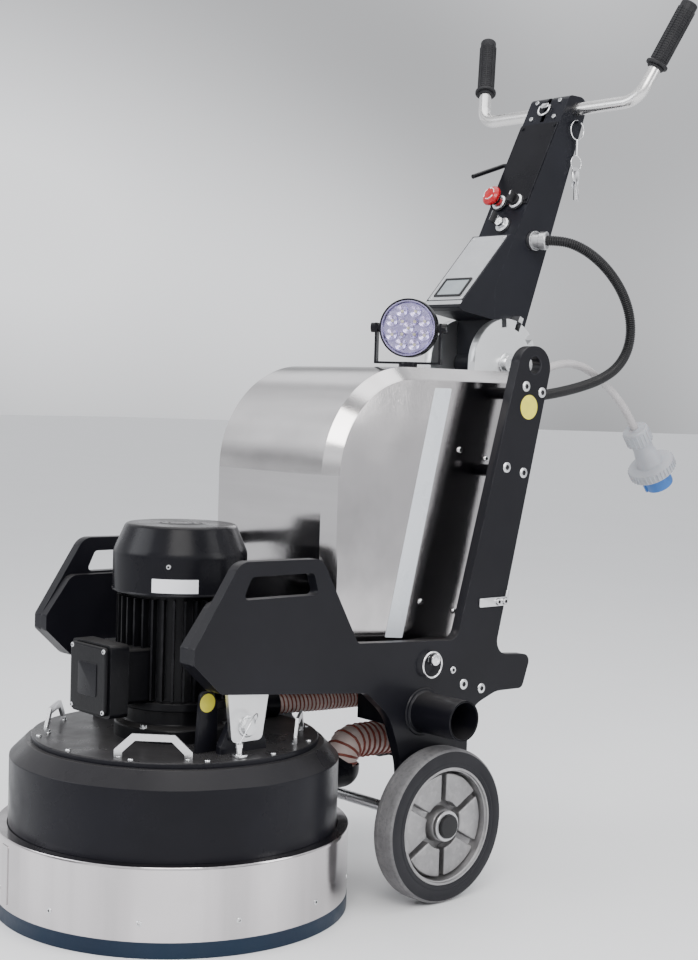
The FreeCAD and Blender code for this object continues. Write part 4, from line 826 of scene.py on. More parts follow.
def socket_screw(x, y, z, direction, head=9.5, tall=2.4, shank=0.0, socket=0.52):
    """A low round head with a hexagon recess, standing on a face."""
    profile = []
    if shank:
        profile += [(0, -shank), (head * 0.6, -shank), (head * 0.6, 0)]
    else:
        profile += [(0, -0.2)]
    profile += [
        (head, -0.2 if not shank else 0),
        (head, tall * 0.45),
        (head - 0.5, tall * 0.8),
        (head * 0.82, tall),
        (head * socket, tall, 6),
        (head * socket * 0.94, tall - 0.4, 6),
        (head * socket * 0.92, -0.1, 6),
        (0, -0.15),
    ]
    mesh = lathe(profile, 36)
    # the socket's walls and floor take the second material, a painted shade for the recess
    for face in mesh.polygons:
        if 0 < math.hypot(face.center.x, face.center.y) < head * socket and face.center.z > -1:
            face.material_index = 1
    mesh.transform(place(x, y, z, frame_z(direction)) @ MILLIMETRES)
    return mesh


def hex_bolt(x, y, z, direction, flats=13.0, tall=7.0, washer=1.6):
    """A hexagon head with a chamfered crown on a round washer."""
    r = flats / 2 / math.cos(math.pi / 6)
    mesh = lathe([
        (0, -0.3), (r * 1.25, -0.3), (r * 1.25, washer - 0.4), (r * 1.2, washer), (r, washer, 6),
        (r, tall - 1.2, 6), (r * 0.93, tall - 0.2), (r * 0.86, tall), (0, tall),
    ], 36)
    mesh.transform(place(x, y, z, frame_z(direction)) @ MILLIMETRES)
    return mesh


def gather(name, meshes, material, body, bevel=0.0, angle=32.0):
    mesh = joined(meshes)
    mesh.materials.append(MATERIALS[material])
    # screws with socket faces get the dark socket material, a painted shade
    if any(face.material_index for face in mesh.polygons):
        mesh.materials.append(MATERIALS["socket_painted_shade"])
    return add(name, mesh, material, body, bevel=bevel, angle=angle)


def laid(mesh, x, y, z, rotation=None):
    """A millimetre mesh set into the frame."""
    mesh.transform(place(x, y, z, rotation) @ MILLIMETRES)
    return mesh


OUT_LEFT = rot("Y", 90)     # local Z along +X, local X along -Z
YZ_LEFT = Matrix(((0, 0, 1, 0), (1, 0, 0, 0), (0, 1, 0, 0), (0, 0, 0, 1)))     # local X, Y, Z = Y, Z, X
XZ_FRONT = Matrix(((1, 0, 0, 0), (0, 0, -1, 0), (0, 1, 0, 0), (0, 0, 0, 1)))   # local X, Y, Z = X, Z, -Y


def make_fasteners():
    left, right = [], []
    for y, z in ((215.5, 886.0), (258.0, 876.0), (172.0, 741.0), (216.0, 731.0)):
        left.append(socket_screw(PLATE_FACE, y, z, (1, 0, 0), 9.5, 2.2, shank=19.5))
    for y, z in ((172.0, 741.0), (216.0, 731.0)):
        right.append(socket_screw(-PLATE_FACE, y, z, (-1, 0, 0), 9.5, 2.2, shank=19.5))
    for (y, z), head in zip(((54.0, 388.5), (81.0, 361.0), (126.0, 349.5)), (6.5, 9.5, 9.0)):
        left.append(socket_screw(PLATE_FACE, y, z, (1, 0, 0), head, 2.2, shank=19.5))
        right.append(socket_screw(-PLATE_FACE, y, z, (-1, 0, 0), head, 2.2, shank=19.5))
    for side in (1, -1):
        left.append(hex_bolt(side * 194, HEAD_Y, 329, (side, 0, 0), 24, 10, 2.4))
        shaft = lathe([(0, -38), (9, -38), (9, 0), (0, 0)], 32)
        left.append(laid(shaft, side * 194, HEAD_Y, 329, frame_z((side, 0, 0))))
    pivot = lathe([
        (0, -80), (17, -80), (17, -69), (12, -69), (12, 69), (17, 69), (17, 78.5), (15.5, 80),
        (9, 80, 6), (8.6, 76, 6), (0, 75.6),
    ], 48)
    left.append(laid(pivot, 0, PIVOT_Y, PIVOT_Z, OUT_LEFT))
    screws = gather("plate_screws", left + right, "zinc", "chassis")
    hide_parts("frame_fasteners")


def make_wheels():
    for side, word in ((1, "left"), (-1, "right")):
        body = f"wheel_{word}"
        seat = place(side * WHEEL_FACE, 0, WHEEL_Z, frame_z((side, 0, 0)))
        tyre = lathe([
            (100.6, -47), (104, -47.6), (112, -48), (120, -48), (127.6, -46.5), (131, -43.6), (132.4, -40),
            (132.6, -34), (132.1, -33.2), (132.1, -32.4), (132.6, -31.6), (132.6, -17), (132.1, -16.2),
            (132.1, -15.4), (132.6, -14.6), (132.4, -8), (131, -4.4), (127.6, -1.6), (121, -0.4), (112, 0),
            (110.4, -0.7), (108.8, -0.7), (107.4, 0), (104, -0.3), (101.2, -1.0), (100.6, -3), (100.6, -47),
        ], 128)
        tyre.materials.append(MATERIALS["tyre_wall"])
        tyre.materials.append(MATERIALS["tread_rubber"])
        for face in tyre.polygons:
            radius = math.hypot(face.center.x, face.center.y)
            face.material_index = 1 if radius > 126.5 else 0
        obj = add(f"tyre_{word}_rubber", tyre, "tyre_wall", body, seat, angle=28)
        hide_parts(f"tyre_{word}")

        meshes = [lathe([
            (91, -30), (91, -47), (100.7, -47), (100.7, -2.2), (99.8, -1.0), (97.6, -0.8), (96.6, -2.0),
            (95.6, -4.6), (94.2, -5.2), (92.2, -19), (90, -25), (84, -29.5), (70, -31), (36, -31), (31, -28),
            (29, -22), (28.6, -12), (27, -9.4), (22.4, -9), (22, -4.6), (20.4, -4), (10.1, -4), (10.1, -46),
            (26, -46), (28, -40), (30, -36), (80, -34), (91, -30),
        ], 96)]
        for k in range(6):
            outline = []
            for r, half in ((88.5, 26.4), (40.5, 22.3)):
                angles = [-half + half * i / 4 for i in range(9)]
                if r < 60:
                    angles = angles[::-1]
                for a in angles:
                    outline.append((r * math.cos(math.radians(a)), r * math.sin(math.radians(a))))
            wedge = slab(outline, -31.5, -12.0)
            meshes.append(moved(soft_top(wedge, 2.6), rot("Z", 60 * k)))
        obj = add(
            f"rim_{word}_casting", joined(meshes), "cast_aluminium", body,
            seat,
        )
        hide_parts(f"rim_{word}")
        ring = lathe(
            [(96.2, -2.2), (96.6, -0.6), (99.6, -0.4), (100.7, -1.2), (100.7, -2.2), (96.2, -2.2)], 96,
        )
        add(f"rim_{word}_edge", ring, "cast_aluminium", body, seat)
        cap = lathe([
            (0, -5), (20.2, -5), (20.4, 1.0), (19.8, 3.4), (18.2, 4.7), (14.0, 5.0), (0, 5.2),
        ], 48)
        add(f"hub_{word}_cap", cap, "black_plastic", body, seat)
        collar = lathe(
            [(20.3, -4.4), (26.2, -4.4), (26.6, -3), (25.6, -1.4), (21.2, -1.2), (20.3, -2), (20.3, -4.4)],
            48,
        )
        add(f"hub_{word}_ring", collar, "machined", body, seat)


def soft_top(mesh, width):
    """Rounds the long edges of a small mesh in its own millimetres."""
    work = bmesh.new()
    work.from_mesh(mesh)
    edges = [e for e in work.edges if len(e.link_faces) == 2 and e.calc_face_angle(0) > math.radians(28)]
    bmesh.ops.bevel(
        work, geom=edges, offset=width, segments=3, profile=0.5, affect="EDGES", clamp_overlap=True,
    )
    work.to_mesh(mesh)
    work.free()
    return mesh


def make_side_details():
    """Blank yellow discs, the hook bracket and the port's thick lip."""
    disc = lathe([(0, -0.1), (21.5, -0.1), (22, 0.25), (0, 0.3)], 64)
    add("post_disc", laid(disc, PLATE_FACE, 225, 849, TO_LEFT), "sticker_yellow", "chassis")
    lip_ring = lathe([
        (31.6, -16), (34.4, -16), (34.5, -1.5), (33.6, 0), (32.4, 0), (31.6, -1.2), (31.6, -16),
    ], 64)
    add(
        "port_lip", lip_ring, "frame_black", "chassis",
        place(PORT_FACE, PORT_Y, PORT_Z, TO_LEFT),
    )
    collar = lathe([(34.6, 0), (41, 0), (41.5, 1), (40, 2.6), (36.5, 3), (34.6, 6), (34.6, 0)], 64)
    add(
        "port_weld", collar, "frame_black", "chassis",
        place(PLATE_FACE, PORT_Y, PORT_Z, TO_LEFT),
    )
    hook = []
    strap = slab(rectangle(113, 183, 494, 510, 3, 4), 0, 3)
    tooth = slab(
        rounded([(176, 500, 2), (186, 500, 4), (188, 520, 4), (182, 524, 3), (178, 506, 2)], 4), 0, 3,
    )
    for mesh in (strap, tooth):
        hook.append(laid(soft_top(mesh, 0.7), PLATE_FACE, 0, 0, YZ_LEFT))
    hook.append(socket_screw(238, 158, 502, (1, 0, 0), 6.4, 5.0))
    hook.append(socket_screw(238, 175, 502, (1, 0, 0), 6.4, 5.0))
    gather("hook_bracket", hook, "plate_steel", "chassis")
    hole = lathe(
        [(14.9, -20), (14.9, -1.2), (16.4, 0.2), (17.6, 0.25), (17.2, 0), (15.2, -1.4), (15.2, -20)],
        48,
    )
    add(
        "post_hole_edge", hole, "frame_black", "chassis",
        place(PLATE_FACE, 237, 925, TO_LEFT),
    )


def make_pin_details():
    knob = lathe([
        (0, 0.2), (9.7, 0.2), (9.7, 2.4), (9.0, 3.0), (9.0, 4.4), (9.7, 5.0), (9.7, 10.6), (8.6, 12.2),
        (5, 12.6),
        (4.4, 11.8), (0, 11.8),
    ], 48)
    add("pin_head", knob, "chrome", "pin_left", place(PLATE_FACE, 1, 412, TO_LEFT))


def make_hood_details():
    screws = []
    for y, z in ((123.5, 769), (191, 753), (39, 500.5), (122, 479)):
        screws.append(socket_screw(HOOD_FACE, y, z, (1, 0, 0), 5.6, 3.2))
        screws.append(socket_screw(-HOOD_FACE, y, z, (-1, 0, 0), 5.6, 3.2))
    gather("hood_screws", screws, "chrome", "chassis")
    strip_outline = rounded([(-45, 444, 2), (-4, 440, 2), (98, 878, 2), (57, 878, 2)], 3)
    strip_mesh = slab(strip_outline, -0.1, 0.45)
    add(
        "side_strip_blank", laid(strip_mesh, HOOD_FACE, 0, 0, YZ_LEFT), "label_strip", "chassis",
    )


def make_band_details():
    screws = []
    for x, y in around(12, 15, BAND_RADIUS):
        screws.append(socket_screw(x * 0.9995, HEAD_Y + y * 0.9995, 54, (x, y, 0), 4.6, 1.5))
    gather("band_screws", screws, "zinc", "shroud")
    lip_ring = lathe([
        (294.0, 131), (295.3, 131.4), (295.5, 134), (295.3, 138.5), (294.4, 140.1), (293, 139.6),
        (294.0, 131),
    ], 160)
    add("band_hem", lip_ring, "band_steel", "shroud", place(0, HEAD_Y, 0))
    seam = slab(rectangle(-13, 13, 34, 128, 2, 3), -0.6, 1.0)
    angle = -100
    spin = rot("Z", angle + 90)
    seam.transform(XZ_FRONT)
    seam.transform(shift(0, -BAND_RADIUS, 0))
    seam.transform(spin)
    add("band_joint", laid(seam, 0, HEAD_Y, 0), "band_steel", "shroud")


def make_motor_details():
    at_motor = place(0, HEAD_Y, 0)
    rim = lathe(
        [(109, 527.6), (112.4, 527.6), (113, 529), (112.4, 531), (111.6, 531), (111.2, 528.4), (109, 527.6)],
        96,
    )
    add("cowl_bead", rim, "cowl_black", "head", at_motor)
    top = lathe([
        (0, 638.6), (52, 638.6), (54, 638.9), (54, 639.0), (50, 639.0), (48, 638.2), (46, 638.2),
        (44, 639.0), (0, 639.0),
    ], 96)
    add("cowl_grille_ring", top, "cowl_black", "head", at_motor)
    slots = []
    for ring, count in ((20, 10), (34, 16)):
        for k in range(count):
            slot_mesh = slab(rectangle(-5.5, 5.5, -1.6, 1.6, 1.5, 3), 638.4, 639.0)
            slots.append(moved(slot_mesh, rot("Z", 360 / count * k) @ shift(ring, 0, 0) @ rot("Z", 90)))
    add("cowl_grille", joined(slots), "black_rubber", "head", at_motor)
    screws = []
    for x, y in around(4, 45, 1):
        screws.append(socket_screw(112 * x, HEAD_Y + 112 * y, 576, (x, y, 0), 4.2, 2.2))
    for x, y in around(4, 22, 96):
        screws.append(hex_bolt(x, HEAD_Y + y, 308.6, (0, 0, 1), 11, 6, 1.2))
    gather("motor_screws", screws, "zinc", "head")

    # the blank name plate on the cowl's side
    plate = curved_plate(112.6, -59, -20, 533.5, 556, 0.7)
    add("motor_plate_blank", plate, "label_white", "head", at_motor)

    points = []
    for i in range(32):
        a = 2 * math.pi * i / 32
        points.append((0, 14 * math.cos(a), 22 * math.sin(a)))
    root = soft_top(slab(rectangle(-9, 9, -12, 12, 3, 3), -16, 6), 2)
    eye = joined([sweep(points, 5.0, 14, closed=True), moved(root, rot("Y", 90))])
    add("lifting_eye", laid(eye, 108.5, HEAD_Y, 505), "motor_black", "head")


def curved_plate(radius, start, end, low, high, thick):
    """A thin plate wrapped on an upright cylinder between two angles in degrees."""
    verts, faces = [], []
    steps = 12
    for i in range(steps + 1):
        a = math.radians(start + (end - start) * i / steps)
        for r in (radius - thick, radius):
            for z in (low, high):
                verts.append((r * math.cos(a), r * math.sin(a), z))
    for i in range(steps):
        a, b = 4 * i, 4 * (i + 1)
        for p, q in ((0, 1), (1, 3), (3, 2), (2, 0)):
            faces.append((a + p, a + q, b + q, b + p))
    faces.append((0, 1, 3, 2))
    last = 4 * steps
    faces.append((last, last + 2, last + 3, last + 1))
    return tidy(mesh_from(verts, faces))


def make_terminal_details():
    """The lid's raised frame, corner screws and blank plate on the terminal box."""
    outer = rectangle(-52, 52, 338, 448, 9, 6)
    inner = rectangle(-41, 41, 349, 437, 5, 6)
    lid = frame_slab(outer, inner, 534.2, 540.8)
    lid = soft_top(lid, 1.6)
    add("terminal_lid_frame", laid(lid, 0, 0, 0, XZ_FRONT), "motor_black", "head")
    raised = slab(rectangle(-27, 27, 366, 420, 4, 4), 540.6, 542.2)
    add(
        "terminal_blank_plate", laid(soft_top(raised, 0.6), 0, 0, 0, XZ_FRONT), "cowl_black", "head",
    )
    screws = [socket_screw(x, -540.8, z, (0, -1, 0), 4.2, 1.6) for x in (-46, 46) for z in (344, 442)]
    gather("terminal_screws", screws, "zinc", "head")


def around(count, first, radius):
    """Points evenly spaced on a circle, the first at an angle in degrees."""
    angles = [math.radians(360 // count * k + first) for k in range(count)]
    return [(radius * math.cos(a), radius * math.sin(a)) for a in angles]


def frame_slab(outer, inner, low, high):
    """A flat frame between two outlines with the same number of points."""
    count = len(outer)
    verts = []
    for loop, z in ((outer, low), (inner, low), (outer, high), (inner, high)):
        verts += [(p[0], p[1], z) for p in loop]
    faces = []
    for i in range(count):
        j = (i + 1) % count
        faces.append((i, j, count + j, count + i))
        faces.append((2 * count + i, 3 * count + i, 3 * count + j, 2 * count + j))
        faces.append((i, 2 * count + i, 2 * count + j, j))
        faces.append((count + i, count + j, 3 * count + j, 3 * count + i))
    return tidy(mesh_from(verts, faces))


def make_deck_details():
    screws = []
    for k in range(4):
        for offset in (-55.5, 55.5):
            a = math.radians(45 + 90 * k)
            local = Vector((offset, -208.5, 0))
            local.rotate(Matrix.Rotation(a, 3, "Z"))
            screws.append(hex_bolt(local.x * 0.985, HEAD_Y + local.y * 0.985, 287, (0, 0, 1), 8, 5, 1.2))
    for x, y in around(12, 7, 229):
        screws.append(socket_screw(x, HEAD_Y + y, 287, (0, 0, 1), 4.6, 2.6))
    gather("deck_bolts", screws, "zinc", "head")
    clamp = [
        laid(soft_top(slab(rectangle(-13, 13, -9, 9, 3, 3), 0, 5), 1), 214, -395, 287),
    ]
    studs = lathe([(0, 4), (5.4, 4), (5.4, 15), (6.6, 15.5), (6.6, 21), (5, 23), (0, 23)], 28)
    clamp.append(laid(studs, 214, -395, 287))
    gather("lanyard_clamp", clamp, "chrome", "head")
    wire = read_path([
        pt(214, -395, 306), pt(222, -385, 330), pt(216, -368, 352), pt(208, -352, 352), pt(204.5, -356, 334),
    ])
    add("lanyard_wire", sweep(even(wire, 0.004), 0.0011, 10), "zinc", "head")
    post = slab(
        rounded([(-436, 287, 0), (-396, 287, 0), (-396, 366, 14), (-408, 384, 10), (-430, 384, 10)], 5),
        0, 8,
    )
    add("sticker_post", laid(soft_top(post, 1.0), 150, 0, 0, YZ_LEFT), "frame_black", "head")
    disc = lathe([(0, 7.9), (14.5, 7.9), (15, 8.25), (0, 8.3)], 48)
    add("lug_disc", laid(disc, 150, -417, 366, TO_LEFT), "sticker_yellow", "head")


def make_hanger_details():
    bolts = []
    for side in (1, -1):
        for y in (-391, -337):
            bolts.append(hex_bolt(side * 190, y, 406.2, (side, 0, 0), 10, 6, 1.4))
    gather("hanger_bolts", bolts, "zinc", "chassis")


# ---------------------------------------------------------------- lamp

LAMP_TURN = rot("Z", 33.0)
LAMP_SPOT = (40, 106, 987)
LAMP_AXIS = LAMP_TURN @ rot("X", 90)


def make_lamp():
    """Bezel, cooling fins, faceted reflector and LEDs. Local Z points out of the lamp's face."""
    seat = place(*LAMP_SPOT, LAMP_AXIS)
    bezel = lathe([
        (51, -8), (54, -8), (54, 6.4), (53.2, 7.8), (51.6, 8), (50.9, 6.6), (51, -8),
    ], 96)
    add("lamp_bezel", bezel, "cowl_black", "lamp", seat)
    fins = []
    for k in range(9):
        x = -32 + 8 * k
        reach = math.sqrt(max(0, 46 ** 2 - x * x))
        fin = soft_top(slab(rectangle(-1.2, 1.2, -reach, reach, 0.5, 2), -39.8, -16), 0.5)
        fins.append(moved(fin, shift(x, 0, 0)))
    add("lamp_fins", joined(fins), "cowl_black", "lamp", seat)
    cells = []
    spots = [(0.0, 0.0)] + around(8, 22, 33) + around(4, 45, 16.5)
    leds = []
    for x, y in spots:
        size = 10.5 if math.hypot(x, y) > 20 or (x, y) == (0, 0) else 7.0
        cup = lathe([(size, 6.35), (size * 0.86, 5.7), (size * 0.5, 3.3), (size * 0.34, 2.6), (0, 2.6)], 16)
        cells.append(moved(cup, shift(x, y, 0)))
        chip = slab(rectangle(-2.4, 2.4, -2.4, 2.4, 0.8, 3), 2.5, 3.6)
        leds.append(moved(chip, shift(x, y, 0)))
    face = lathe([(0, 2.3), (50.7, 2.3), (50.7, 6.2), (48.6, 6.2), (46, 2.6), (0, 2.6)], 72)
    cells.append(face)
    add("lamp_reflector", joined(cells), "lamp_reflector", "lamp", seat, angle=20)
    add("lamp_leds", joined(leds), "led_yellow", "lamp", seat)
    cover = lathe([(0, 6.6), (50.6, 6.6), (50.6, 7.4), (0, 7.4)], 72)
    obj = add("lamp_window", cover, "lamp_glass", "lamp", seat)
    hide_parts("lamp_lens")
    bolts = []
    yoke = place(*LAMP_SPOT, LAMP_TURN)
    for side in (1, -1):
        bolt = lathe([(0, 0), (8.6, 0), (8.6, 1.6), (6.4, 2.0, 6), (6.4, 7.0, 6), (5.4, 8.4), (0, 8.6)], 36)
        bolt.transform(shift(side * 62.6, 3, 0) @ frame_z((side, 0, 0)))
        bolts.append(bolt)
    add("lamp_bolts", joined(bolts), "chrome", "lamp_yoke", yoke)
    foot = lathe(
        [(0, -76), (12.5, -76), (17.2, -74.4), (17.2, -70.5), (14, -68), (10, -66.2), (0, -66.2)], 48,
    )
    foot.transform(shift(0, 3, 0))
    add("lamp_foot", foot, "black_plastic", "lamp_yoke", yoke)


# ---------------------------------------------------------------- control column

SLOPE = 0.495
LEAN = math.atan(SLOPE)


def front_y(z):
    """Where the front of the leaning column is at a height."""
    return 283.0 + SLOPE * (z - 1000.0)


def on_front(z, x=0.0, out=0.0):
    """A matrix whose local Z is the outward normal of the column's front, local Y up its face."""
    normal = Vector((0, -math.cos(LEAN), math.sin(LEAN)))
    along = Vector((0, math.sin(LEAN), math.cos(LEAN)))
    spin = Matrix((Vector((1, 0, 0)), along, normal)).transposed().to_4x4()
    spot = pt(x, front_y(z), z) + normal * out / 1000
    return Matrix.Translation(spot) @ spin @ MILLIMETRES


def laid_on_front(mesh, z, x=0.0, out=0.0):
    mesh.transform(on_front(z, x, out))
    return mesh


def make_console():
    """The display plate on the raked bezel, with its window, frame and small screws."""
    low, high = Vector((0, 233.0, 1044.0)), Vector((0, front_y(1178) - 14, 1180.0))
    way = (high - low).normalized()
    normal = Vector((0, -way.z, way.y))
    spin = Matrix((Vector((1, 0, 0)), way, normal)).transposed().to_4x4()
    seat = Matrix.Translation(pt(*low)) @ spin @ MILLIMETRES
    length = (high - low).length
    panel = slab(rectangle(-46, 46, 4, length - 4, 4, 4), -0.2, 1.2)
    panel.transform(seat)
    add("display_plate", panel, "bezel_silver", "column")
    outer = rectangle(-36, 36, 12, 62, 3, 4)
    inner = rectangle(-31, 31, 17, 57, 2, 4)
    surround = frame_slab(outer, inner, 1.0, 3.2)
    soft_top(surround, 0.7)
    surround.transform(seat)
    add("display_surround", surround, "black_plastic", "column")
    window = slab(rectangle(-31.2, 31.2, 16.8, 57.2, 2, 4), 1.0, 1.8)
    window.transform(seat)
    add("display_window", window, "screen_grey", "column")
    screws = []
    for x in (-41, 41):
        for v in (9, length - 9):
            head = lathe(
                [(0, 1.1), (2.6, 1.1), (2.6, 1.7), (2.0, 2.2), (1.1, 2.2, 6), (1.0, 1.4, 6), (0, 1.4)],
                24,
            )
            head.transform(shift(x, v, 0))
            head.transform(seat)
            screws.append(head)
    gather("display_screws", screws, "zinc", "column")
    lip = slab(rectangle(-49.5, 49.5, 0, 10, 2, 3), -0.2, 0.9)
    lip.transform(shift(0, -8.5, 0))
    lip.transform(seat)
    add("display_lip", lip, "bezel_silver", "column")


def make_column_details():
    profile = [(0, 0), (4.6, 0), (4.6, 2.4), (4.0, 3.2), (2.2, 3.2, 6), (2.1, 1.2, 6), (0, 1.2)]
    clamp = [laid_on_front(lathe(profile, 28), z, x, 0.1) for z in (1424, 1458) for x in (-30, 30)]
    gather("clamp_screws", clamp, "zinc", "column")
    ring = []
    points = []
    for i in range(17):
        a = math.pi * i / 16
        points.append((14 * math.cos(a), -14 * math.sin(a), 6))
    points += [(-14, 7, 5.5), (14, 7, 5.5)]
    ring.append(sweep(points, 2.2, 12, closed=True))
    ring.append(soft_top(slab(rectangle(-9, 9, 2, 12, 2, 3), -0.2, 8.6), 1.0))
    mesh = joined(ring)
    add("clamp_ring", laid_on_front(mesh, 1440, 0, 0), "chrome", "column")
    hems = []
    for x in (-48.9, 48.9):
        for a, b in ((1086, 1174), (1184, 1240), (1246, 1408)):
            length = (b - a) / math.cos(LEAN)
            strip_mesh = slab(rectangle(-0.5, 0.5, 0, length, 0.4, 2), -0.1, 0.5)
            hems.append(laid_on_front(strip_mesh, a, x, 0.0 if b < 1245 else 2.5))
    gather("column_edges", hems, "column_black", "column")
    washers = []
    for side in (1, -1):
        washer = lathe([(12.2, 0), (21, 0), (21, 1.6), (20, 2.2), (13, 2.2), (12.2, 1.6), (12.2, 0)], 48)
        washers.append(laid(washer, side * 68.5, PIVOT_Y, PIVOT_Z, frame_z((side, 0, 0))))
    gather("pivot_washers", washers, "zinc", "chassis")


# Height, sideways place and standoff of each switch on the column's front.
ESTOP_SEAT = (1246, -22, 2.5)
SELECTOR_SEAT = (1246, 22, 2.5)
KEY_SEAT = (1200, 8, 0)


def make_switch_details():
    arcs = []
    for k in range(3):
        line = []
        for i in range(13):
            a = math.radians(120 * k + 8 + 6.4 * i)
            line.append((12.2 * math.cos(a), 12.2 * math.sin(a), 38.2))
        arcs.append(sweep(line, 0.75, 8))
        a = math.radians(120 * k + 8 + 6.4 * 12)
        tip = Vector((12.2 * math.cos(a), 12.2 * math.sin(a), 0))
        ahead = Vector((-math.sin(a), math.cos(a), 0))
        side = Vector((math.cos(a), math.sin(a), 0))
        head = [tip + side * 2.1, tip - side * 2.1, tip + ahead * 3.4]
        arcs.append(slab([(p.x, p.y) for p in head], 37.6, 38.8))
    mesh = joined(arcs)
    add("estop_arrows", laid_on_front(mesh, *ESTOP_SEAT), "white_mark", "estop")
    collar = lathe(
        [(9.1, 14.6), (11.6, 14.6), (11.8, 15.2), (11.8, 16.8), (10.6, 17.4), (9.1, 17.4), (9.1, 14.6)],
        48,
    )
    add("estop_collar", laid_on_front(collar, *ESTOP_SEAT), "black_plastic", "estop")
    grips = []
    for k in range(24):
        bar = slab(rectangle(19.2, 20.6, -0.8, 0.8, 0.3, 1), 26.5, 31.5)
        grips.append(moved(bar, rot("Z", 15 * k)))
    add("estop_grips", laid_on_front(joined(grips), *ESTOP_SEAT), "estop_red", "estop")
    mark = slab(rectangle(-1.1, 1.1, 2, 10.4, 0.8, 3), 25.9, 26.4)
    add("selector_mark", laid_on_front(mark, *SELECTOR_SEAT), "white_mark", "selector")
    grip_lines = []
    for x in (-3.9, 3.9):
        for i in range(6):
            low = -9 + 3.4 * i
            high = -7.8 + 3.4 * i
            outline = [(x - 0.35, low), (x + 0.35, low), (x + 0.35, high), (x - 0.35, high)]
            grip_lines.append(soft_top(slab(outline, 16, 25), 0.12))
    add(
        "selector_ribs", laid_on_front(joined(grip_lines), *SELECTOR_SEAT), "black_plastic", "selector",
    )
    rings = []
    for seat in (ESTOP_SEAT, SELECTOR_SEAT, KEY_SEAT):
        ring = lathe([(14, 0), (16.6, 0), (16.6, 1.4), (15.6, 2.2), (14, 2.2), (14, 0)], 48)
        rings.append(laid_on_front(ring, *seat))
    gather("switch_rings", rings, "black_plastic", "column")
    # the keyway: a thin black sheet on the key's face, painted shade for the slot
    slot_mesh = slab(rectangle(-1.4, 1.4, -5, 5, 0.6, 2), 17.8, 18.2)
    add("key_slot_painted_shade", laid_on_front(slot_mesh, *KEY_SEAT), "black_plastic", "key")
    bow = soft_top(slab(rectangle(-1.7, 1.7, -11, 11, 0.5, 2), 26, 41), 0.8)
    add("key_bow_cover", laid_on_front(bow, *KEY_SEAT), "black_plastic", "key")


def make_bar_details():
    """Ribs on the grips, and the end caps."""
    lean = math.radians(20.5)
    spread = math.radians(17.3)
    for side, word in ((1, "left"), (-1, "right")):
        base = Vector((side * 204.0, 534.0, 1441.0))
        upright = math.cos(spread)
        way = Vector((side * math.sin(spread), upright * math.sin(lean), upright * math.cos(lean)))
        seat = place(*(base + way * 74.0), frame_z(way))
        ribs = []
        for k in range(22):
            z = 13 + 5.0 * k
            ribs.append(lathe([
                (16.2, z - 1.3), (17.1, z - 1.0), (17.5, z), (17.1, z + 1.0), (16.2, z + 1.3),
                (15.6, z), (16.2, z - 1.3),
            ], 40))
        for k in range(8):
            bar = slab(rectangle(16.2, 17.9, -1.1, 1.1, 0.5, 2), 11, 122)
            ribs.append(moved(bar, rot("Z", 45 * k)))
        add(f"grip_{word}_ribs", joined(ribs), "black_rubber", "handle", seat, angle=50)
        collar = lathe([(12.6, -5), (15.5, -5), (16.4, -3.8), (16.4, -0.4), (12.6, -0.2), (12.6, -5)], 40)
        add(f"grip_{word}_collar", collar, "black_rubber", "handle", seat)


def make_key_details():
    """Keys and a paper tag that hang from the small ring."""
    x, y, z = 57.0, 532.0, 1415.0 - 15.5
    tag = soft_top(slab(rectangle(-9, 9, -30, 0, 3, 3), -0.9, 0.9), 0.4)
    spin = rot("X", 8)
    add(
        "key_tag", laid(moved(tag, YZ_LEFT @ spin), x - 2.5, y + 5, z - 84), "label_white", "keys",
    )
    blade = soft_top(slab(rounded([
        (-3.2, -52, 1), (3.2, -52, 1), (3.2, -40, 0), (4.4, -37, 0), (3.2, -34, 0), (4.4, -30, 0),
        (3.2, -26, 0),
        (3.2, -14, 1), (10, -10, 3), (10, 8, 5), (-10, 8, 5), (-10, -10, 3), (-3.2, -14, 1),
    ], 2), -0.8, 0.8), 0.25)
    add(
        "spare_key", laid(moved(blade, YZ_LEFT @ rot("Z", 12)), x + 2.2, y - 3, z - 88), "chrome",
        "keys",
    )


# ---------------------------------------------------------------- the whole object

make_mains()
for (look, edge), cad_nodes in CAD_LOOKS.items():
    for cad_node in cad_nodes.split():
        dress(cad_node, look, edge)
make_hoses()
make_fasteners()
make_wheels()
make_side_details()
make_pin_details()
make_hood_details()
make_band_details()
make_motor_details()
make_terminal_details()
make_deck_details()
make_hanger_details()
make_lamp()
make_console()
make_column_details()
make_switch_details()
make_bar_details()
make_key_details()


# ---------------------------------------------------------------- floor, light and picture

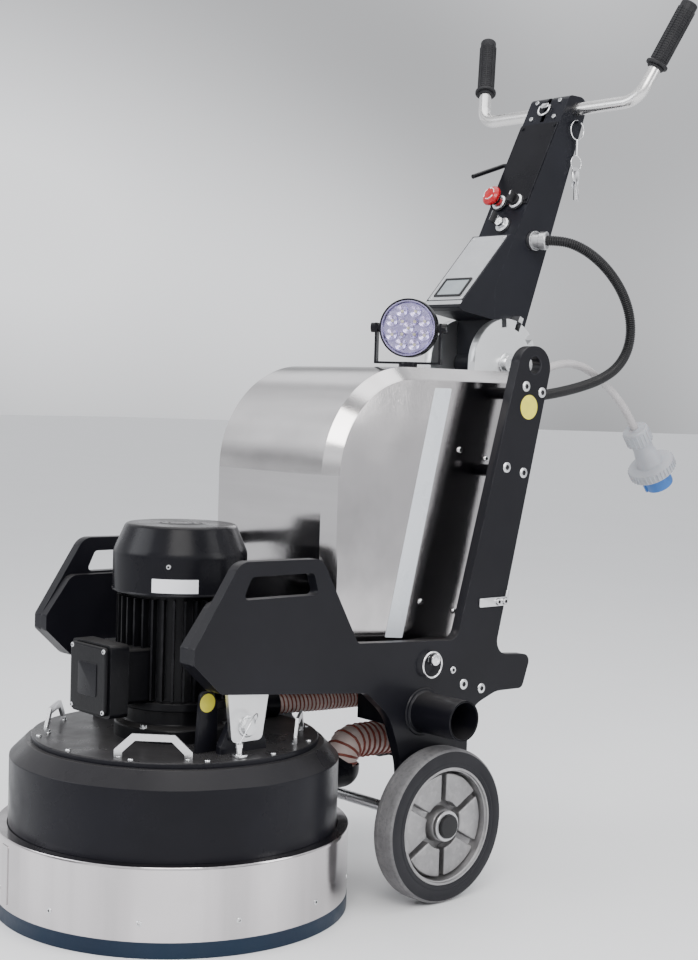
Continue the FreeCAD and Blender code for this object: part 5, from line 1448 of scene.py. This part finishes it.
floor_mesh = mesh_from([(-40, -40, 0), (40, -40, 0), (40, 40, 0), (-40, 40, 0)], [(0, 1, 2, 3)], "floor")
floor_look = Surface("floor_paint", (0.86, 0.865, 0.875), rough=0.6)
floor_look.mottle((0.83, 0.835, 0.845), 1.4, 0.4)
floor_look.roughen(0.5, 0.65, 8.0)
floor_mesh.materials.append(floor_look.material)
floor = bpy.data.objects.new("floor", floor_mesh)
bpy.context.scene.collection.objects.link(floor)

world = bpy.data.worlds.new("studio")
bpy.context.scene.world = world
world.use_nodes = True
sky = world.node_tree.nodes["Background"]
sky_nodes, sky_links = world.node_tree.nodes, world.node_tree.links
sky_coords = sky_nodes.new("ShaderNodeTexCoord")
sky_noise = sky_nodes.new("ShaderNodeTexNoise")
sky_range = sky_nodes.new("ShaderNodeMapRange")
for sky_node, values in (
    (sky_noise, {"Scale": 2.2, "Detail": 1.0}),
    (sky_range, {"From Min": 0.38, "From Max": 0.62, "To Min": 0.35, "To Max": 1.5}),
):
    for socket, value in values.items():
        sky_node.inputs[socket].default_value = value
sky_links.new(sky_coords.outputs["Generated"], sky_noise.inputs["Vector"])
sky_links.new(sky_noise.outputs["Fac"], sky_range.inputs["Value"])
sky_links.new(sky_range.outputs["Result"], sky.inputs["Strength"])
sky.inputs["Color"].default_value = (0.96, 0.97, 1.0, 1)


def softbox(name, spot, target, size, power, tint=(1, 1, 1)):
    lamp = bpy.data.lights.new(name, "AREA")
    lamp.shape = "RECTANGLE"
    lamp.size, lamp.size_y = size
    lamp.energy = power
    lamp.color = tint
    obj = bpy.data.objects.new(name, lamp)
    bpy.context.scene.collection.objects.link(obj)
    way = Vector(target) - Vector(spot)
    obj.matrix_world = Matrix.Translation(Vector(spot)) @ way.to_track_quat("-Z", "Y").to_matrix().to_4x4()


softbox("key_light", (2.6, -2.2, 3.2), (0, -0.1, 0.6), (2.4, 2.0), 120, (1.0, 0.98, 0.95))
softbox("front_light", (-1.6, -3.4, 2.2), (0, -0.2, 0.6), (2.6, 1.8), 70, (0.95, 0.97, 1.0))
softbox("side_light", (3.4, 1.8, 2.0), (0, 0.1, 0.8), (1.6, 2.6), 60)
softbox("top_light", (0, 0.2, 3.6), (0, 0, 0.5), (3.0, 3.0), 60)
